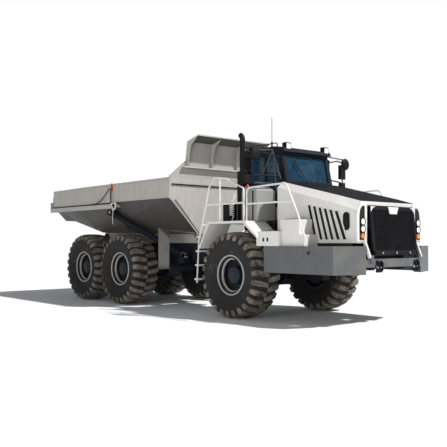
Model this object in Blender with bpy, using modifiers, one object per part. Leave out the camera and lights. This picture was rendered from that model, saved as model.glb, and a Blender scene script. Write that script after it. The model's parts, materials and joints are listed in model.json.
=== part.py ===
"""Articulated six-wheel dump truck. Metres, +X to the front, +Y to the left, +Z up.

The origin is on the ground, half way along the truck. Stations along the truck are given as
distances ahead of the front axle and turned into X by ahead(). Pieces that come in pairs are
made by loops over SIDES, where -1 is the right-hand side and 1 the left.
"""

import math

import bmesh
import bpy
from mathutils import Matrix, Vector

# ---------------------------------------------------------------- driving dimensions
NOSE = 3.17  # front axle to the foremost point, the middle of the bumper
TAIL = 8.42  # front axle to the rearmost point, the tailgate
WHEELBASE = 4.48  # front axle to middle axle
BOGIE = 1.95  # middle axle to rear axle
TYRE_RADIUS = 0.935
TYRE_WIDTH = 0.75
TRACK = 2.68  # between the middles of a left and a right wheel
GAP = 0.0003  # between pieces that touch
SWING = 0.006  # between a moving piece and what it passes

SIDES = {"right": -1, "left": 1}
FRONT_AXLE_X = (TAIL - NOSE) / 2
HUB_Z = TYRE_RADIUS
AXLES = {"front": 0.0, "middle": -WHEELBASE, "rear": -WHEELBASE - BOGIE}

# ---------------------------------------------------------------- wheels and axles
RIM_RADIUS = 0.40
RIM_FLANGE = 0.03
RIM_WALL = 0.03
RIM_HALF_WIDTH = 0.27
BEAD_HALF_WIDTH = 0.25
DISC_OUT = 0.05  # the wheel disc's outer face, outboard of the wheel's middle
DISC_THICK = 0.03
HUB_RADIUS = 0.20
HUB_OUT = 0.17
WHEEL_STEPS = 24  # facets round a tyre and its rim
AXLE_TUBE = 0.14
DIFF_RADIUS = 0.27

# ---------------------------------------------------------------- front frame
RAIL_IN = 0.42
RAIL_OUT = 0.54
RAIL_LOW = HUB_Z + 0.165
RAIL_HIGH = RAIL_LOW + 0.40
RAIL_REAR = -0.55
HITCH = -1.45  # steering pivot, ahead of the front axle
EAR_RADIUS = 0.20
EAR_THICK = 0.06
EAR_LOW = HUB_Z - 0.04  # top face of the lower ear
EAR_HIGH = HUB_Z + 0.62  # bottom face of the upper ear
CROSS_REAR = -0.44
STEER_ARM = 0.34
STEER_BACK = 0.92  # steering pivot to the barrel's pin
STEER_Z = HUB_Z + 0.10
STEER_PIN = 0.03
STEER_BARREL = 0.06
STEER_ROD = 0.03
STEER_EYE = 0.055
STEER_MOUTH = 0.31  # steering pivot to the barrel's open end
STEER_BORE_END = 0.075  # barrel's pin to the closed end of its bore
STEER_SHAFT_END = 0.33  # barrel's pin to the rod's inner end, when the truck points straight

# ---------------------------------------------------------------- hitch and rear frame
TRUNNION_Z = HUB_Z + 0.29
TRUNNION_RADIUS = 0.22
TRUNNION_END = HITCH - 0.66
COLLAR_RADIUS = 0.31
COLLAR_FRONT = HITCH - 0.30
THRUST_RADIUS = 0.27  # flange of the yoke that bears on the collar's front face
THRUST_THICK = 0.04
REAR_IN = 0.36
REAR_OUT = 0.48
REAR_LOW = HUB_Z + 0.185
REAR_HIGH = REAR_LOW + 0.50
REAR_FRONT = HITCH - 0.70
REAR_END = -7.25
BEAM_IN = 0.60
BEAM_OUT = 0.74
BEAM_HIGH = 0.19
FLAP = -2.65  # station of the mudflaps
FLAP_ROOT = -2.28  # where their arms leave the rear frame, clear of the hoist rods

# ---------------------------------------------------------------- dump body
HINGE = -7.05
HINGE_Z = REAR_HIGH + 0.18
HINGE_PIN = 0.06
LUG_RADIUS = 0.15
BODY_HALF = 1.65
BODY_WALL = 0.06
SIDE_RAIL = 0.14
BODY_FRONT = -2.18
BODY_TAIL = 8.30
FLOOR_Z = REAR_HIGH + 0.22
SIDE_Z = 2.72
TOP_Z = 3.22
LEAN = 0.09  # how far the front wall leans forward for each metre up
GUARD_SHOULDER_Z = 3.64
GUARD_TOP_Z = 4.11
GUARD_LIP_Z = 4.23
GUARD_HALF = 1.20
GUARD_REACH = 0.40
GATE_PIVOT = -4.66
GATE_PIVOT_Z = 2.61
GATE_ARM_IN = BODY_HALF + SWING
GATE_ARM_OUT = BODY_HALF + 0.05
GATE_PIN = 0.05
GATE_COLLAR = 0.085  # shoulder of the pin that the gate's arm bears on
HOIST_TOP = (-5.00, 1.58, 2.45)
HOIST_FOOT = (-2.85, 0.70, 1.30)
HOIST_BARREL = 0.085
HOIST_ROD = 0.05
HOIST_PIN = 0.045
HOIST_COLLAR = 0.058
HOIST_EYE = 0.09
HOIST_EYE_IN = 0.068  # pin's middle to the inboard end of the barrel's eye
HOIST_EYE_OUT = 0.07
HOIST_AXIS = (0.1224, 0.9903, 0.0659)  # of the left pin, which leans so that the rod meets the frame

# ---------------------------------------------------------------- decks, cab, hood
DECK_Z = 2 * TYRE_RADIUS + 0.23
DECK_THICK = 0.05
DECK_HALF = 1.06
FENDER_OUT = 1.70
CAB_HALF = 0.75
CAB_REAR = -0.45
CAB_FRONT = 0.85
CAB_WALL = 0.06
SILL_Z = 2.95
CAB_TOP = 3.62
SCREEN_LEAN = 0.15
ROOF_THICK = 0.13
BEACON = 0.20  # station of the roof's raised pad for a beacon
PAD_HALF = 0.10
HOOD_REAR = 0.92
HOOD_FRONT = 2.95
HOOD_HALF = 1.10
HOOD_LOW = 1.63
HOOD_WALL = 0.04
BUMPER_LOW = 1.03
BUMPER_HIGH = 1.57
BUMPER_MID = 1.33
BUMPER_HALF = 1.58
BUMPER_REAR = 1.0
BUMPER_WALL = 0.08
GRILLE_HALF = 0.72
GRILLE_TOP = 2.37
NOSE_HINGE = 3.10
NOSE_HINGE_Z = BUMPER_MID + 0.04
NOSE_PIN = 0.03


def ahead(distance):
    """X of a station this far ahead of the front axle."""
    return FRONT_AXLE_X + distance


# ---------------------------------------------------------------- tools
def clear_scene():
    for item in list(bpy.data.objects):
        bpy.data.objects.remove(item, do_unlink=True)


def collection(name):
    made = bpy.data.collections.new(name)
    bpy.context.scene.collection.children.link(made)
    return made


clear_scene()
PARTS = collection("articulated_dump_truck")
HELPERS = collection("cutters")


def paint(name, colour, roughness, metallic=0.0):
    """A plain Principled material."""
    made = bpy.data.materials.new(name)
    made.use_nodes = True
    shader = made.node_tree.nodes["Principled BSDF"]
    shader.inputs["Base Color"].default_value = (*colour, 1.0)
    shader.inputs["Roughness"].default_value = roughness
    shader.inputs["Metallic"].default_value = metallic
    return made


# name: colour, roughness, metallic
FINISHES = {
    "white_paint": ((0.80, 0.80, 0.78), 0.4, 0.0),
    "body_paint": ((0.62, 0.61, 0.58), 0.5, 0.0),
    "grey_paint": ((0.24, 0.25, 0.26), 0.5, 0.0),
    "frame_paint": ((0.07, 0.08, 0.09), 0.5, 0.0),
    "black_steel": ((0.03, 0.03, 0.03), 0.5, 0.0),
    "rubber": ((0.03, 0.03, 0.03), 0.9, 0.0),
    "rim_paint": ((0.45, 0.46, 0.47), 0.4, 0.0),
    "glass": ((0.03, 0.06, 0.09), 0.05, 0.0),
    "chrome": ((0.80, 0.80, 0.80), 0.15, 1.0),
    "fabric": ((0.05, 0.05, 0.06), 0.9, 0.0),
    "engine_iron": ((0.16, 0.16, 0.17), 0.6, 0.2),
}
MATERIALS = {name: paint(name, *values) for name, values in FINISHES.items()}


def mesh_object(name, mesh):
    made = bpy.data.objects.new(name, mesh)
    PARTS.objects.link(made)
    return made


def from_bmesh(name, shape):
    mesh = bpy.data.meshes.new(name)
    shape.to_mesh(mesh)
    shape.free()
    return mesh_object(name, mesh)


def block(low, high, name="block"):
    """An upright box between two corners; X counts ahead of the front axle."""
    shape = bmesh.new()
    bmesh.ops.create_cube(shape, size=1.0)
    low = Vector((ahead(low[0]), low[1], low[2]))
    high = Vector((ahead(high[0]), high[1], high[2]))
    size = high - low
    bmesh.ops.scale(shape, vec=(abs(size.x), abs(size.y), abs(size.z)), verts=shape.verts)
    bmesh.ops.translate(shape, vec=(low + high) / 2, verts=shape.verts)
    return from_bmesh(name, shape)


def rod(start, end, radius, sides=16, name="rod"):
    """A round bar between two points; X counts ahead of the front axle."""
    start = Vector((ahead(start[0]), start[1], start[2]))
    end = Vector((ahead(end[0]), end[1], end[2]))
    length = (end - start).length
    turn = (end - start).to_track_quat("Z", "Y").to_matrix().to_4x4()
    shape = bmesh.new()
    bmesh.ops.create_cone(
        shape, cap_ends=True, segments=sides, radius1=radius, radius2=radius, depth=length,
        matrix=Matrix.Translation((start + end) / 2) @ turn,
    )
    return from_bmesh(name, shape)


def meshed(curve):
    """The curve object as a welded mesh object in the same place."""
    bpy.context.view_layer.update()
    graph = bpy.context.evaluated_depsgraph_get()
    mesh = bpy.data.meshes.new_from_object(curve.evaluated_get(graph))
    shape = bmesh.new()
    shape.from_mesh(mesh)
    bmesh.ops.remove_doubles(shape, verts=shape.verts, dist=0.00001)
    shape.to_mesh(mesh)
    shape.free()
    made = mesh_object(curve.name, mesh)
    made.matrix_world = curve.matrix_world
    bpy.data.objects.remove(curve, do_unlink=True)
    return made


def poly_curve(name, points, cyclic):
    data = bpy.data.curves.new(name, "CURVE")
    data.dimensions = "3D"
    spline = data.splines.new("POLY")
    spline.points.add(len(points) - 1)
    for point, place in zip(spline.points, points):
        point.co = (*place, 1.0)
    spline.use_cyclic_u = cyclic
    made = bpy.data.objects.new(name, data)
    PARTS.objects.link(made)
    return made


def tube(points, radius, resolution=1, name="tube"):
    """A round tube through the points; X counts ahead of the front axle."""
    made = poly_curve(name, [(ahead(x), y, z) for x, y, z in points], False)
    made.data.bevel_depth = radius
    made.data.bevel_resolution = resolution
    made.data.use_fill_caps = True
    return meshed(made)


def plate(outline, across, low, high, name="plate"):
    """A flat outline made as thick as low to high along the axis named by across.

    For across Y the outline is (x, z), for Z it is (x, y), for X it is (y, z).
    """
    shift = {"Y": (1, 0), "Z": (1, 0), "X": (0, 0)}[across][0]
    flat = [(first + shift * FRONT_AXLE_X, second, 0.0) for first, second in outline]
    made = poly_curve(name, flat, True)
    made.data.dimensions = "2D"
    made.data.fill_mode = "BOTH"
    made.data.extrude = (high - low) / 2
    middle = (low + high) / 2
    if across == "Y":
        place = Matrix(((1, 0, 0, 0), (0, 0, -1, middle), (0, 1, 0, 0), (0, 0, 0, 1)))
    elif across == "Z":
        place = Matrix.Translation((0, 0, middle))
    else:
        place = Matrix(((0, 0, 1, ahead(middle)), (1, 0, 0, 0), (0, 1, 0, 0), (0, 0, 0, 1)))
    made.matrix_world = place
    return meshed(made)


def loft(sections, name="loft"):
    """A closed body through rings of equally many points, as (x, y, z) ahead of the axle."""
    shape = bmesh.new()
    rings = [[shape.verts.new((ahead(x), y, z)) for x, y, z in ring] for ring in sections]
    for ring, following in zip(rings, rings[1:]):
        for index in range(len(ring)):
            after = (index + 1) % len(ring)
            shape.faces.new((ring[index], ring[after], following[after], following[index]))
    shape.faces.new(rings[0])
    shape.faces.new(rings[-1])
    bmesh.ops.recalc_face_normals(shape, faces=shape.faces)
    return from_bmesh(name, shape)


def turned(profile, middle, steps, name="turned"):
    """A ring about a crosswise axis: profile points are (radius, outboard distance)."""
    shape = bmesh.new()
    corners = [shape.verts.new((radius, 0.0, out)) for radius, out in profile]
    for index, corner in enumerate(corners):
        shape.edges.new((corner, corners[(index + 1) % len(corners)]))
    made = from_bmesh(name, shape)
    screw = made.modifiers.new("turn", "SCREW")
    screw.axis = "Z"
    screw.angle = 2 * math.pi
    screw.steps = steps
    screw.render_steps = steps
    screw.use_merge_vertices = True
    screw.merge_threshold = 0.0001
    screw.use_normal_flip = True
    made.matrix_world = Matrix.Translation(middle) @ Matrix.Rotation(-math.pi / 2, 4, "X")
    return made


def combine(base, other, operation):
    change = base.modifiers.new(operation.lower(), "BOOLEAN")
    change.operation = operation
    change.solver = "EXACT"
    change.object = other
    PARTS.objects.unlink(other)
    HELPERS.objects.link(other)
    other.hide_render = True
    other.display_type = "WIRE"


def part(name, finish, pieces, cuts=()):
    """One named sub-part: its pieces joined, and the cuts taken out of it."""
    base = pieces[0]
    for other in pieces[1:]:
        combine(base, other, "UNION")
    for other in cuts:
        combine(base, other, "DIFFERENCE")
    base.name = name
    base.data.materials.clear()
    base.data.materials.append(MATERIALS[finish])
    return base


def pivot_at(made, place):
    """Moves the object's origin to a joint's axis and leaves its shape where it is."""
    origin = Vector((ahead(place[0]), place[1], place[2]))
    bpy.context.view_layer.update()
    made.data.transform(made.matrix_world)
    made.data.transform(Matrix.Translation(-origin))
    made.matrix_world = Matrix.Translation(origin)
    return made


def arc(middle, radius, start, end, steps):
    """Points on an arc between two angles in degrees."""
    angles = [math.radians(start + (end - start) * step / steps) for step in range(steps + 1)]
    return [(middle[0] + radius * math.cos(a), middle[1] + radius * math.sin(a)) for a in angles]


def bore(middle, radius, low, high, sides=16):
    """A round bar along Y."""
    return rod((middle[0], low, middle[1]), (middle[0], high, middle[1]), radius, sides)


def clear_of(radius, sides=16):
    """Radius of a faceted hole in which a faceted pin can turn."""
    return radius / math.cos(math.pi / sides) + GAP


# ---------------------------------------------------------------- wheels
def wheel(axle, side):
    station = AXLES[axle]
    sign = SIDES[side]
    middle = (ahead(station), sign * TRACK / 2, HUB_Z)
    half = TYRE_WIDTH / 2
    seat = RIM_RADIUS + GAP
    half_profile = [
        (TYRE_RADIUS, half - 0.13),
        (TYRE_RADIUS - 0.05, half - 0.035),
        (TYRE_RADIUS - 0.26, half),
        (seat + 0.12, BEAD_HALF_WIDTH + 0.09),
        (seat + RIM_FLANGE + GAP, BEAD_HALF_WIDTH),
        (seat, BEAD_HALF_WIDTH),
    ]
    profile = half_profile + [(radius, -out) for radius, out in reversed(half_profile)]
    tyre = turned(profile, middle, WHEEL_STEPS)
    part(f"{axle}_{side}_tyre", "rubber", [tyre])
    inner = RIM_RADIUS - RIM_WALL
    lip = RIM_RADIUS + RIM_FLANGE
    bead = BEAD_HALF_WIDTH + 2 * GAP
    disc = (DISC_OUT - DISC_THICK, DISC_OUT)
    rim_profile = [
        (lip, RIM_HALF_WIDTH),
        (inner, RIM_HALF_WIDTH),
        (inner, disc[1]),
        (HUB_RADIUS + GAP, disc[1]),
        (HUB_RADIUS + GAP, disc[0]),
        (inner, disc[0]),
        (inner, -RIM_HALF_WIDTH),
        (lip, -RIM_HALF_WIDTH),
        (lip, -bead),
        (RIM_RADIUS, -bead),
        (RIM_RADIUS, bead),
        (lip, bead),
    ]
    flipped = [(radius, sign * out) for radius, out in rim_profile]
    if sign < 0:
        flipped.reverse()
    # The tapered bead of the tyre sits between the two lips.
    rim = turned(flipped, middle, WHEEL_STEPS)
    part(f"{axle}_{side}_rim", "rim_paint", [rim])


def axle_pieces(station):
    """Housing tube, differential and hubs of one driven axle."""
    out = TRACK / 2
    pieces = [rod((station, -out, HUB_Z), (station, out, HUB_Z), AXLE_TUBE, 12)]
    pieces.append(rod((station, -0.2, HUB_Z), (station, 0.2, HUB_Z), DIFF_RADIUS, 16))
    for sign in SIDES.values():
        hub = sign * (out + HUB_OUT)
        back = sign * (out + DISC_OUT - DISC_THICK - GAP)
        drum = sign * (out - 0.24)
        pieces.append(rod((station, sign * (out - 0.3), HUB_Z), (station, hub, HUB_Z), HUB_RADIUS, WHEEL_STEPS))
        pieces.append(rod((station, drum, HUB_Z), (station, back, HUB_Z), HUB_RADIUS + 0.1, 16))
    return pieces


def front_axle():
    pieces = axle_pieces(AXLES["front"])
    for sign in SIDES.values():
        seat_in = sign * (RAIL_IN - 0.02)
        seat_out = sign * (RAIL_OUT + 0.02)
        pieces.append(block((-0.13, seat_in, HUB_Z), (0.13, seat_out, RAIL_LOW - GAP)))
    # The A-frame that guides the axle reaches forward to a ball under the cross-member.
    pieces.append(block((0.0, -0.12, HUB_Z - 0.12), (1.30, 0.12, HUB_Z + 0.02)))
    pieces.append(block((1.16, -0.10, HUB_Z - 0.05), (1.30, 0.10, RAIL_LOW)))
    part("front_axle", "frame_paint", pieces)


def rear_axles():
    for name in ("middle", "rear"):
        part(f"{name}_axle", "frame_paint", axle_pieces(AXLES[name]))


# ---------------------------------------------------------------- front frame
def front_chassis():
    pieces = []
    front_end = bumper_inner_front() - GAP
    for sign in SIDES.values():
        low = (RAIL_REAR, sign * RAIL_IN, RAIL_LOW)
        high = (front_end, sign * RAIL_OUT, RAIL_HIGH)
        pieces.append(block(low, high))
    ear_bottom = EAR_LOW - EAR_THICK
    ear_top = EAR_HIGH + EAR_THICK
    wide = RAIL_OUT - 0.01
    pieces.append(block((CROSS_REAR, -wide, ear_bottom + 0.01), (CROSS_REAR + 0.12, wide, ear_top - 0.01)))
    outline = arc((HITCH, 0.0), EAR_RADIUS, 90, 270, 10)
    outline += [(CROSS_REAR + 0.06, -RAIL_IN - 0.02), (CROSS_REAR + 0.06, RAIL_IN + 0.02)]
    pieces.append(plate(outline, "Z", ear_bottom, EAR_LOW))
    pieces.append(plate(outline, "Z", EAR_HIGH, ear_top))
    for sign in SIDES.values():
        pin = (HITCH + STEER_BACK, sign * STEER_ARM)
        top = STEER_Z + STEER_BARREL + 0.03
        pieces.append(rod((*pin, ear_bottom + 0.01), (*pin, top), STEER_PIN, 16))
    wide = RAIL_IN + 0.02
    pieces.append(block((0.35, -wide, RAIL_LOW + 0.02), (0.47, wide, RAIL_LOW + 0.16)))
    pieces.append(block((1.10, -wide, RAIL_LOW + GAP), (1.36, wide, RAIL_LOW + 0.10)))
    return part("front_chassis", "frame_paint", pieces)


def bumper_inner_front():
    """Back face of the bumper's front beam."""
    return NOSE - 0.27


def front_bumper():
    sweep = NOSE - 0.35
    half = [(BUMPER_REAR, BUMPER_HALF), (sweep, BUMPER_HALF - 0.02), (NOSE - 0.06, 0.78), (NOSE, 0.35)]
    outline = half + [(x, -y) for x, y in reversed(half)]
    body = plate(outline, "Z", BUMPER_LOW, BUMPER_HIGH)
    inner = BUMPER_HALF - BUMPER_WALL
    face = bumper_inner_front()
    hollow = [(BUMPER_REAR - 0.1, inner), (face - 0.15, inner), (face, 0.95)]
    hollow += [(x, -y) for x, y in reversed(hollow)]
    engine_bay = RAIL_OUT + 0.02
    centre = 0.90
    cuts = [
        plate(hollow, "Z", BUMPER_LOW - 0.1, BUMPER_HIGH - 0.04),
        block((BUMPER_REAR - 0.1, -engine_bay, BUMPER_LOW), (face - 0.001, engine_bay, BUMPER_HIGH + 0.1)),
        block((face - 0.1, -centre, BUMPER_MID), (NOSE + 0.1, centre, BUMPER_HIGH + 0.1)),
        block((face - 0.1, -centre, BUMPER_LOW - 0.1), (NOSE + 0.1, centre, BUMPER_LOW + 0.14)),
    ]
    lugs = []
    for sign in SIDES.values():
        low = (NOSE_HINGE - 0.04, sign * (GRILLE_HALF + 0.02 + GAP), BUMPER_MID - 0.06)
        high = (NOSE_HINGE + 0.03, sign * 0.82, NOSE_HINGE_Z + 0.03)
        lugs.append(block(low, high))
    made = part("front_bumper", "grey_paint", [body], cuts)
    for lug in lugs:
        combine(made, lug, "UNION")
    return made


def engine():
    part("engine_block", "engine_iron", [block((0.97, -RAIL_IN + GAP, 1.22), (2.20, RAIL_IN - GAP, 2.25))])
    low = (2.45, -RAIL_OUT, RAIL_HIGH + GAP)
    part("radiator", "black_steel", [block(low, (2.68, RAIL_OUT, 2.30))])


def deck_frame():
    under = DECK_Z - DECK_THICK
    pieces = [block((-0.50, -DECK_HALF, under), (0.88, DECK_HALF, DECK_Z))]
    for station in (-0.20, 0.62):
        wide = DECK_HALF - 0.04
        pieces.append(block((station, -wide, under - 0.14), (station + 0.14, wide, under + 0.02)))
        for sign in SIDES.values():
            low = (station + 0.01, sign * (RAIL_IN + 0.01), RAIL_HIGH + GAP)
            high = (station + 0.13, sign * (RAIL_OUT - 0.01), under - 0.10)
            pieces.append(block(low, high))
    part("deck_frame", "black_steel", pieces)


def fender(side):
    """Deck and mudguard over the front wheel, with the front steps."""
    sign = SIDES[side]
    inner = sign * (DECK_HALF + GAP)
    outer = sign * FENDER_OUT
    low, high = sorted((inner, outer))
    under = DECK_Z - DECK_THICK
    tip = HOOD_REAR - 0.02
    outline = [(-1.02, 1.50), (-0.66, DECK_Z), (0.50, DECK_Z), (tip, 1.80), (tip, 1.74)]
    outline += [(0.48, under), (-0.63, under), (-0.97, 1.50)]
    pieces = [plate(outline, "Y", low, high)]
    # rear, front, bottom, top, outer reach of each step box
    steps = [
        (0.80, 1.45, BUMPER_HIGH + GAP, 1.87, 1.60),
        (1.40, 1.91, BUMPER_HIGH + GAP, 2.10, 1.50),
        (1.88, 2.05, BUMPER_HIGH + GAP, 1.80, 1.50),
    ]
    for rear, front, bottom, height, reach in steps:
        start = (rear, sign * (HOOD_HALF + 0.02), bottom)
        pieces.append(block(start, (front, sign * reach, height)))
    tyre_room = rod((0, sign * 0.9, HUB_Z), (0, sign * 1.9, HUB_Z), TYRE_RADIUS + 0.06, 24)
    part(f"fender_{side}", "white_paint", pieces, [tyre_room])


def handrail(side):
    """Ladder, its grab rails and the rail round the deck."""
    sign = SIDES[side]
    outer = sign * (FENDER_OUT - 0.04)
    inner = sign * (FENDER_OUT - 0.45)
    tube_size = 0.02
    stand = DECK_Z + GAP
    rail = [(-1.11, 0.72), (-1.04, 1.70), (-0.78, 2.50), (-0.68, 2.86), (-0.47, 3.07), (-0.09, 3.03)]
    front = [(0.46, 2.79), (0.48, 2.70), (0.48, stand)]
    pieces = [tube([(x, outer, z) for x, z in rail + front], tube_size)]
    pieces.append(tube([(-0.30, outer, stand), (-0.30, outer, 3.05)], tube_size))
    pieces.append(tube([(-0.79, outer, 2.48), (0.48, outer, 2.48)], tube_size))
    pieces.append(tube([(-1.11, inner, 0.72), (-1.04, inner, 1.70), (-0.93, inner, 2.04)], tube_size))
    for height in (0.80, 1.12, 1.44, 1.76):
        x = -1.11 + (height - 0.72) * 0.07 / 0.98
        low = (x - 0.10, outer, height - 0.02)
        pieces.append(block(low, (x + 0.03, inner, height + 0.02)))
    pieces.append(tube([(-0.93, inner, 2.03), (-0.93, outer, 2.03)], tube_size))
    part(f"ladder_rail_{side}", "white_paint", pieces)
    loop = sign * (BUMPER_HALF - 0.05)
    arch = [(0.42, stand), (0.42, 2.72), (0.50, 2.80), (1.54, 2.83), (1.62, 2.78), (1.89, 2.24)]
    arch += [(2.14, 1.64), (2.14, BUMPER_HIGH + GAP)]
    pieces = [tube([(x, loop, z) for x, z in arch], tube_size)]
    pieces.append(tube([(0.42, loop, 2.46), (1.78, loop, 2.46)], tube_size))
    part(f"hood_rail_{side}", "white_paint", pieces)


# ---------------------------------------------------------------- cab
def screen_x(height):
    """Outer face of the windscreen at this height."""
    return CAB_FRONT - (height - SILL_Z) * SCREEN_LEAN / (CAB_TOP - SILL_Z)


def cab():
    base = DECK_Z + GAP
    outline = [(CAB_REAR, base), (CAB_FRONT, base), (CAB_FRONT, SILL_Z), (screen_x(CAB_TOP), CAB_TOP)]
    outline += [(CAB_REAR, CAB_TOP)]
    shell = plate(outline, "Y", -CAB_HALF, CAB_HALF)
    wall = CAB_WALL
    above = CAB_TOP + 0.1
    room = [(CAB_REAR + wall, base + wall), (CAB_FRONT - wall, base + wall), (CAB_FRONT - wall, SILL_Z)]
    room += [(screen_x(above) - wall, above), (CAB_REAR + wall, above)]
    inner = CAB_HALF - wall
    pane = inner - 0.05
    low, high = SILL_Z + 0.04, CAB_TOP - 0.07
    side_low = 2.45
    cuts = [
        plate(room, "Y", -inner, inner),
        block((0.3, -pane, low), (1.2, pane, high)),
        block((CAB_REAR - 0.1, -pane, low), (CAB_REAR + 0.2, pane, high)),
        block((-0.33, -CAB_HALF - 0.1, side_low), (0.62, -inner + 0.1, high)),
        block((DOOR[0], inner - 0.1, DOOR[2]), (DOOR[1], CAB_HALF + 0.1, DOOR[3])),
    ]
    part("cab_shell", "frame_paint", [shell], cuts)
    glass = 0.012
    fit = GAP
    low, high = low + fit, high - fit
    lean = [(screen_x(low) - 0.03 - glass, low), (screen_x(low) - 0.03, low)]
    lean += [(screen_x(high) - 0.03, high), (screen_x(high) - 0.03 - glass, high)]
    part("windscreen", "glass", [plate(lean, "Y", -pane + fit, pane - fit)])
    rear = (CAB_REAR + 0.02, -pane + fit, low)
    part("rear_window", "glass", [block(rear, (CAB_REAR + 0.02 + glass, pane - fit, high))])
    side = (-0.33 + fit, -CAB_HALF + 0.02, side_low + fit)
    part("side_window", "glass", [block(side, (0.62 - fit, -CAB_HALF + 0.02 + glass, high))])
    roof_low = CAB_TOP + GAP
    over = [(CAB_REAR - 0.05, roof_low), (screen_x(CAB_TOP) + 0.10, roof_low)]
    over += [(screen_x(CAB_TOP) + 0.06, roof_low + ROOF_THICK * 0.7), (0.5, roof_low + ROOF_THICK)]
    over += [(CAB_REAR + 0.02, roof_low + ROOF_THICK), (CAB_REAR - 0.05, roof_low + ROOF_THICK * 0.6)]
    roof_top = CAB_TOP + ROOF_THICK
    pad = block((BEACON - PAD_HALF, -PAD_HALF, roof_top - 0.02), (BEACON + PAD_HALF, PAD_HALF, roof_top + 0.015))
    part("cab_roof", "frame_paint", [plate(over, "Y", -CAB_HALF - 0.02, CAB_HALF + 0.02), pad])


DOOR = (-0.30, 0.44, 2.20, 3.56)  # rear, front, bottom and top of the doorway
DOOR_HINGE = (-0.33, CAB_HALF + 0.035)
HINGE_HEIGHTS = (2.42, 3.36)


def cab_door():
    edge = SWING
    low = (DOOR[0] + edge, CAB_HALF - 0.04, DOOR[2] + edge)
    high = (DOOR[1] - edge, CAB_HALF, DOOR[3] - edge)
    leaf = block(low, high)
    frame_width = 0.07
    sight = (low[0] + frame_width, CAB_HALF - 0.1, 2.62)
    cut = block(sight, (high[0] - frame_width, CAB_HALF + 0.1, high[2] - frame_width))
    hinge_x, hinge_y = DOOR_HINGE
    door = part("cab_door", "frame_paint", [leaf], [cut])
    for height in HINGE_HEIGHTS:
        top = height + 0.10
        strap = block((hinge_x, CAB_HALF + SWING, height + 0.01), (hinge_x + 0.10, hinge_y, top - 0.01))
        pad = block((low[0] + 0.02, CAB_HALF - 0.02, height + 0.02), (hinge_x + 0.09, hinge_y - 0.005, top - 0.02))
        knuckle = rod((hinge_x, hinge_y, height), (hinge_x, hinge_y, top), 0.018, 12)
        for piece in (strap, pad, knuckle):
            combine(door, piece, "UNION")
    pivot_at(door, (hinge_x, hinge_y, DOOR[2]))
    fit = GAP
    glass_low = (sight[0] + fit, CAB_HALF - 0.026, sight[2] + fit)
    glass_high = (high[0] - frame_width - fit, CAB_HALF - 0.014, high[2] - frame_width - fit)
    part("door_window", "glass", [block(glass_low, glass_high)])
    # The other halves of the hinges stand on the cab's side under the knuckles.
    shell = bpy.data.objects["cab_shell"]
    for height in HINGE_HEIGHTS:
        low = (hinge_x - 0.03, CAB_HALF - 0.03, height - 0.05)
        combine(shell, block(low, (hinge_x + 0.02, hinge_y + 0.02, height - GAP)), "UNION")


def cab_inside():
    floor = DECK_Z + 2 * GAP + CAB_WALL
    seat = [
        block((-0.22, -0.20, floor), (0.18, 0.20, floor + 0.34)),
        block((-0.27, -0.27, floor + 0.32), (0.28, 0.27, floor + 0.46)),
        plate([(-0.31, floor + 0.40), (-0.17, floor + 0.40), (-0.25, floor + 1.12), (-0.36, floor + 1.12)],
              "Y", -0.25, 0.25),
    ]
    part("operator_seat", "fabric", seat)
    front = CAB_FRONT - CAB_WALL - GAP
    low = (front - 0.16, -0.55, floor)
    pieces = [block(low, (front, 0.55, SILL_Z - 0.12))]
    pieces.append(rod((front - 0.10, 0, 2.72), (0.42, 0, 3.0), 0.03, 12))
    wheel_turn = Vector((0.42 - front + 0.10, 0, 0.28)).normalized()
    hub = Vector((0.42, 0, 3.0))
    tip = hub + wheel_turn * 0.03
    pieces.append(rod(hub, tip, 0.20, 20))
    part("dash_console", "black_steel", pieces)


def cab_outside():
    base = DECK_Z + GAP
    stack = (-0.36, -0.94)
    bend = [(stack[0], stack[1], 3.2), (stack[0], stack[1], 3.98)]
    for point in arc((stack[0] - 0.12, 3.98), 0.12, 0, 65, 5)[1:]:
        bend.append((point[0], stack[1], point[1]))
    pieces = [rod((*stack, base), (*stack, 3.25), 0.12, 20), tube(bend, 0.062, 3)]
    part("exhaust_stack", "black_steel", pieces)
    part("service_tank", "grey_paint", [block((0.10, -1.38, base), (0.58, -0.82, 2.83))])
    mast = (0.35, -0.70)
    foot = CAB_TOP + ROOF_THICK + 2 * GAP
    pieces = [rod((*mast, foot), (*mast, foot + 0.12), 0.02, 12)]
    pieces.append(rod((*mast, foot + 0.10), (*mast, foot + 0.66), 0.006, 8))
    part("antenna", "black_steel", pieces)
    for side, sign in SIDES.items():
        face = sign * (CAB_HALF + GAP)
        tip = sign * 1.56
        foot_x = screen_x(3.3) - 0.06
        low = (foot_x - 0.03, face, 3.02)
        pieces = [block(low, (foot_x + 0.03, face + sign * 0.03, 3.54))]
        pieces.append(tube([(foot_x, face + sign * 0.01, 3.48), (0.62, sign * 1.2, 3.56), (0.47, tip, 3.56)], 0.016))
        pieces.append(tube([(foot_x, face + sign * 0.01, 3.08), (0.60, sign * 1.2, 3.08), (0.47, tip, 3.06)], 0.016))
        pieces.append(tube([(0.47, tip, 2.88), (0.47, tip, 3.66)], 0.016))
        low = (0.43, tip - sign * 0.10, 3.16)
        pieces.append(block(low, (0.49, tip + sign * 0.10, 3.50)))
        pieces.append(block((0.43, tip - sign * 0.09, 2.90), (0.49, tip + sign * 0.09, 3.08)))
        part(f"mirror_{side}", "black_steel", pieces)


# ---------------------------------------------------------------- hood and grille
def channel(stations, wall):
    """Rings of an upside-down trough: half, shoulder_half, low, shoulder, top at each station."""
    rings = []
    for x, half, top_half, low, shoulder, top in stations:
        outer = [(half, low), (half, shoulder), (top_half, top)]
        inner = [(top_half - wall * 0.4, top - wall), (half - wall, shoulder - wall * 0.4), (half - wall, low)]
        right = outer + [(-y, z) for y, z in reversed(outer)]
        left = [(-y, z) for y, z in reversed(inner)] + inner
        rings.append([(x, y, z) for y, z in right + left])
    return rings


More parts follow.
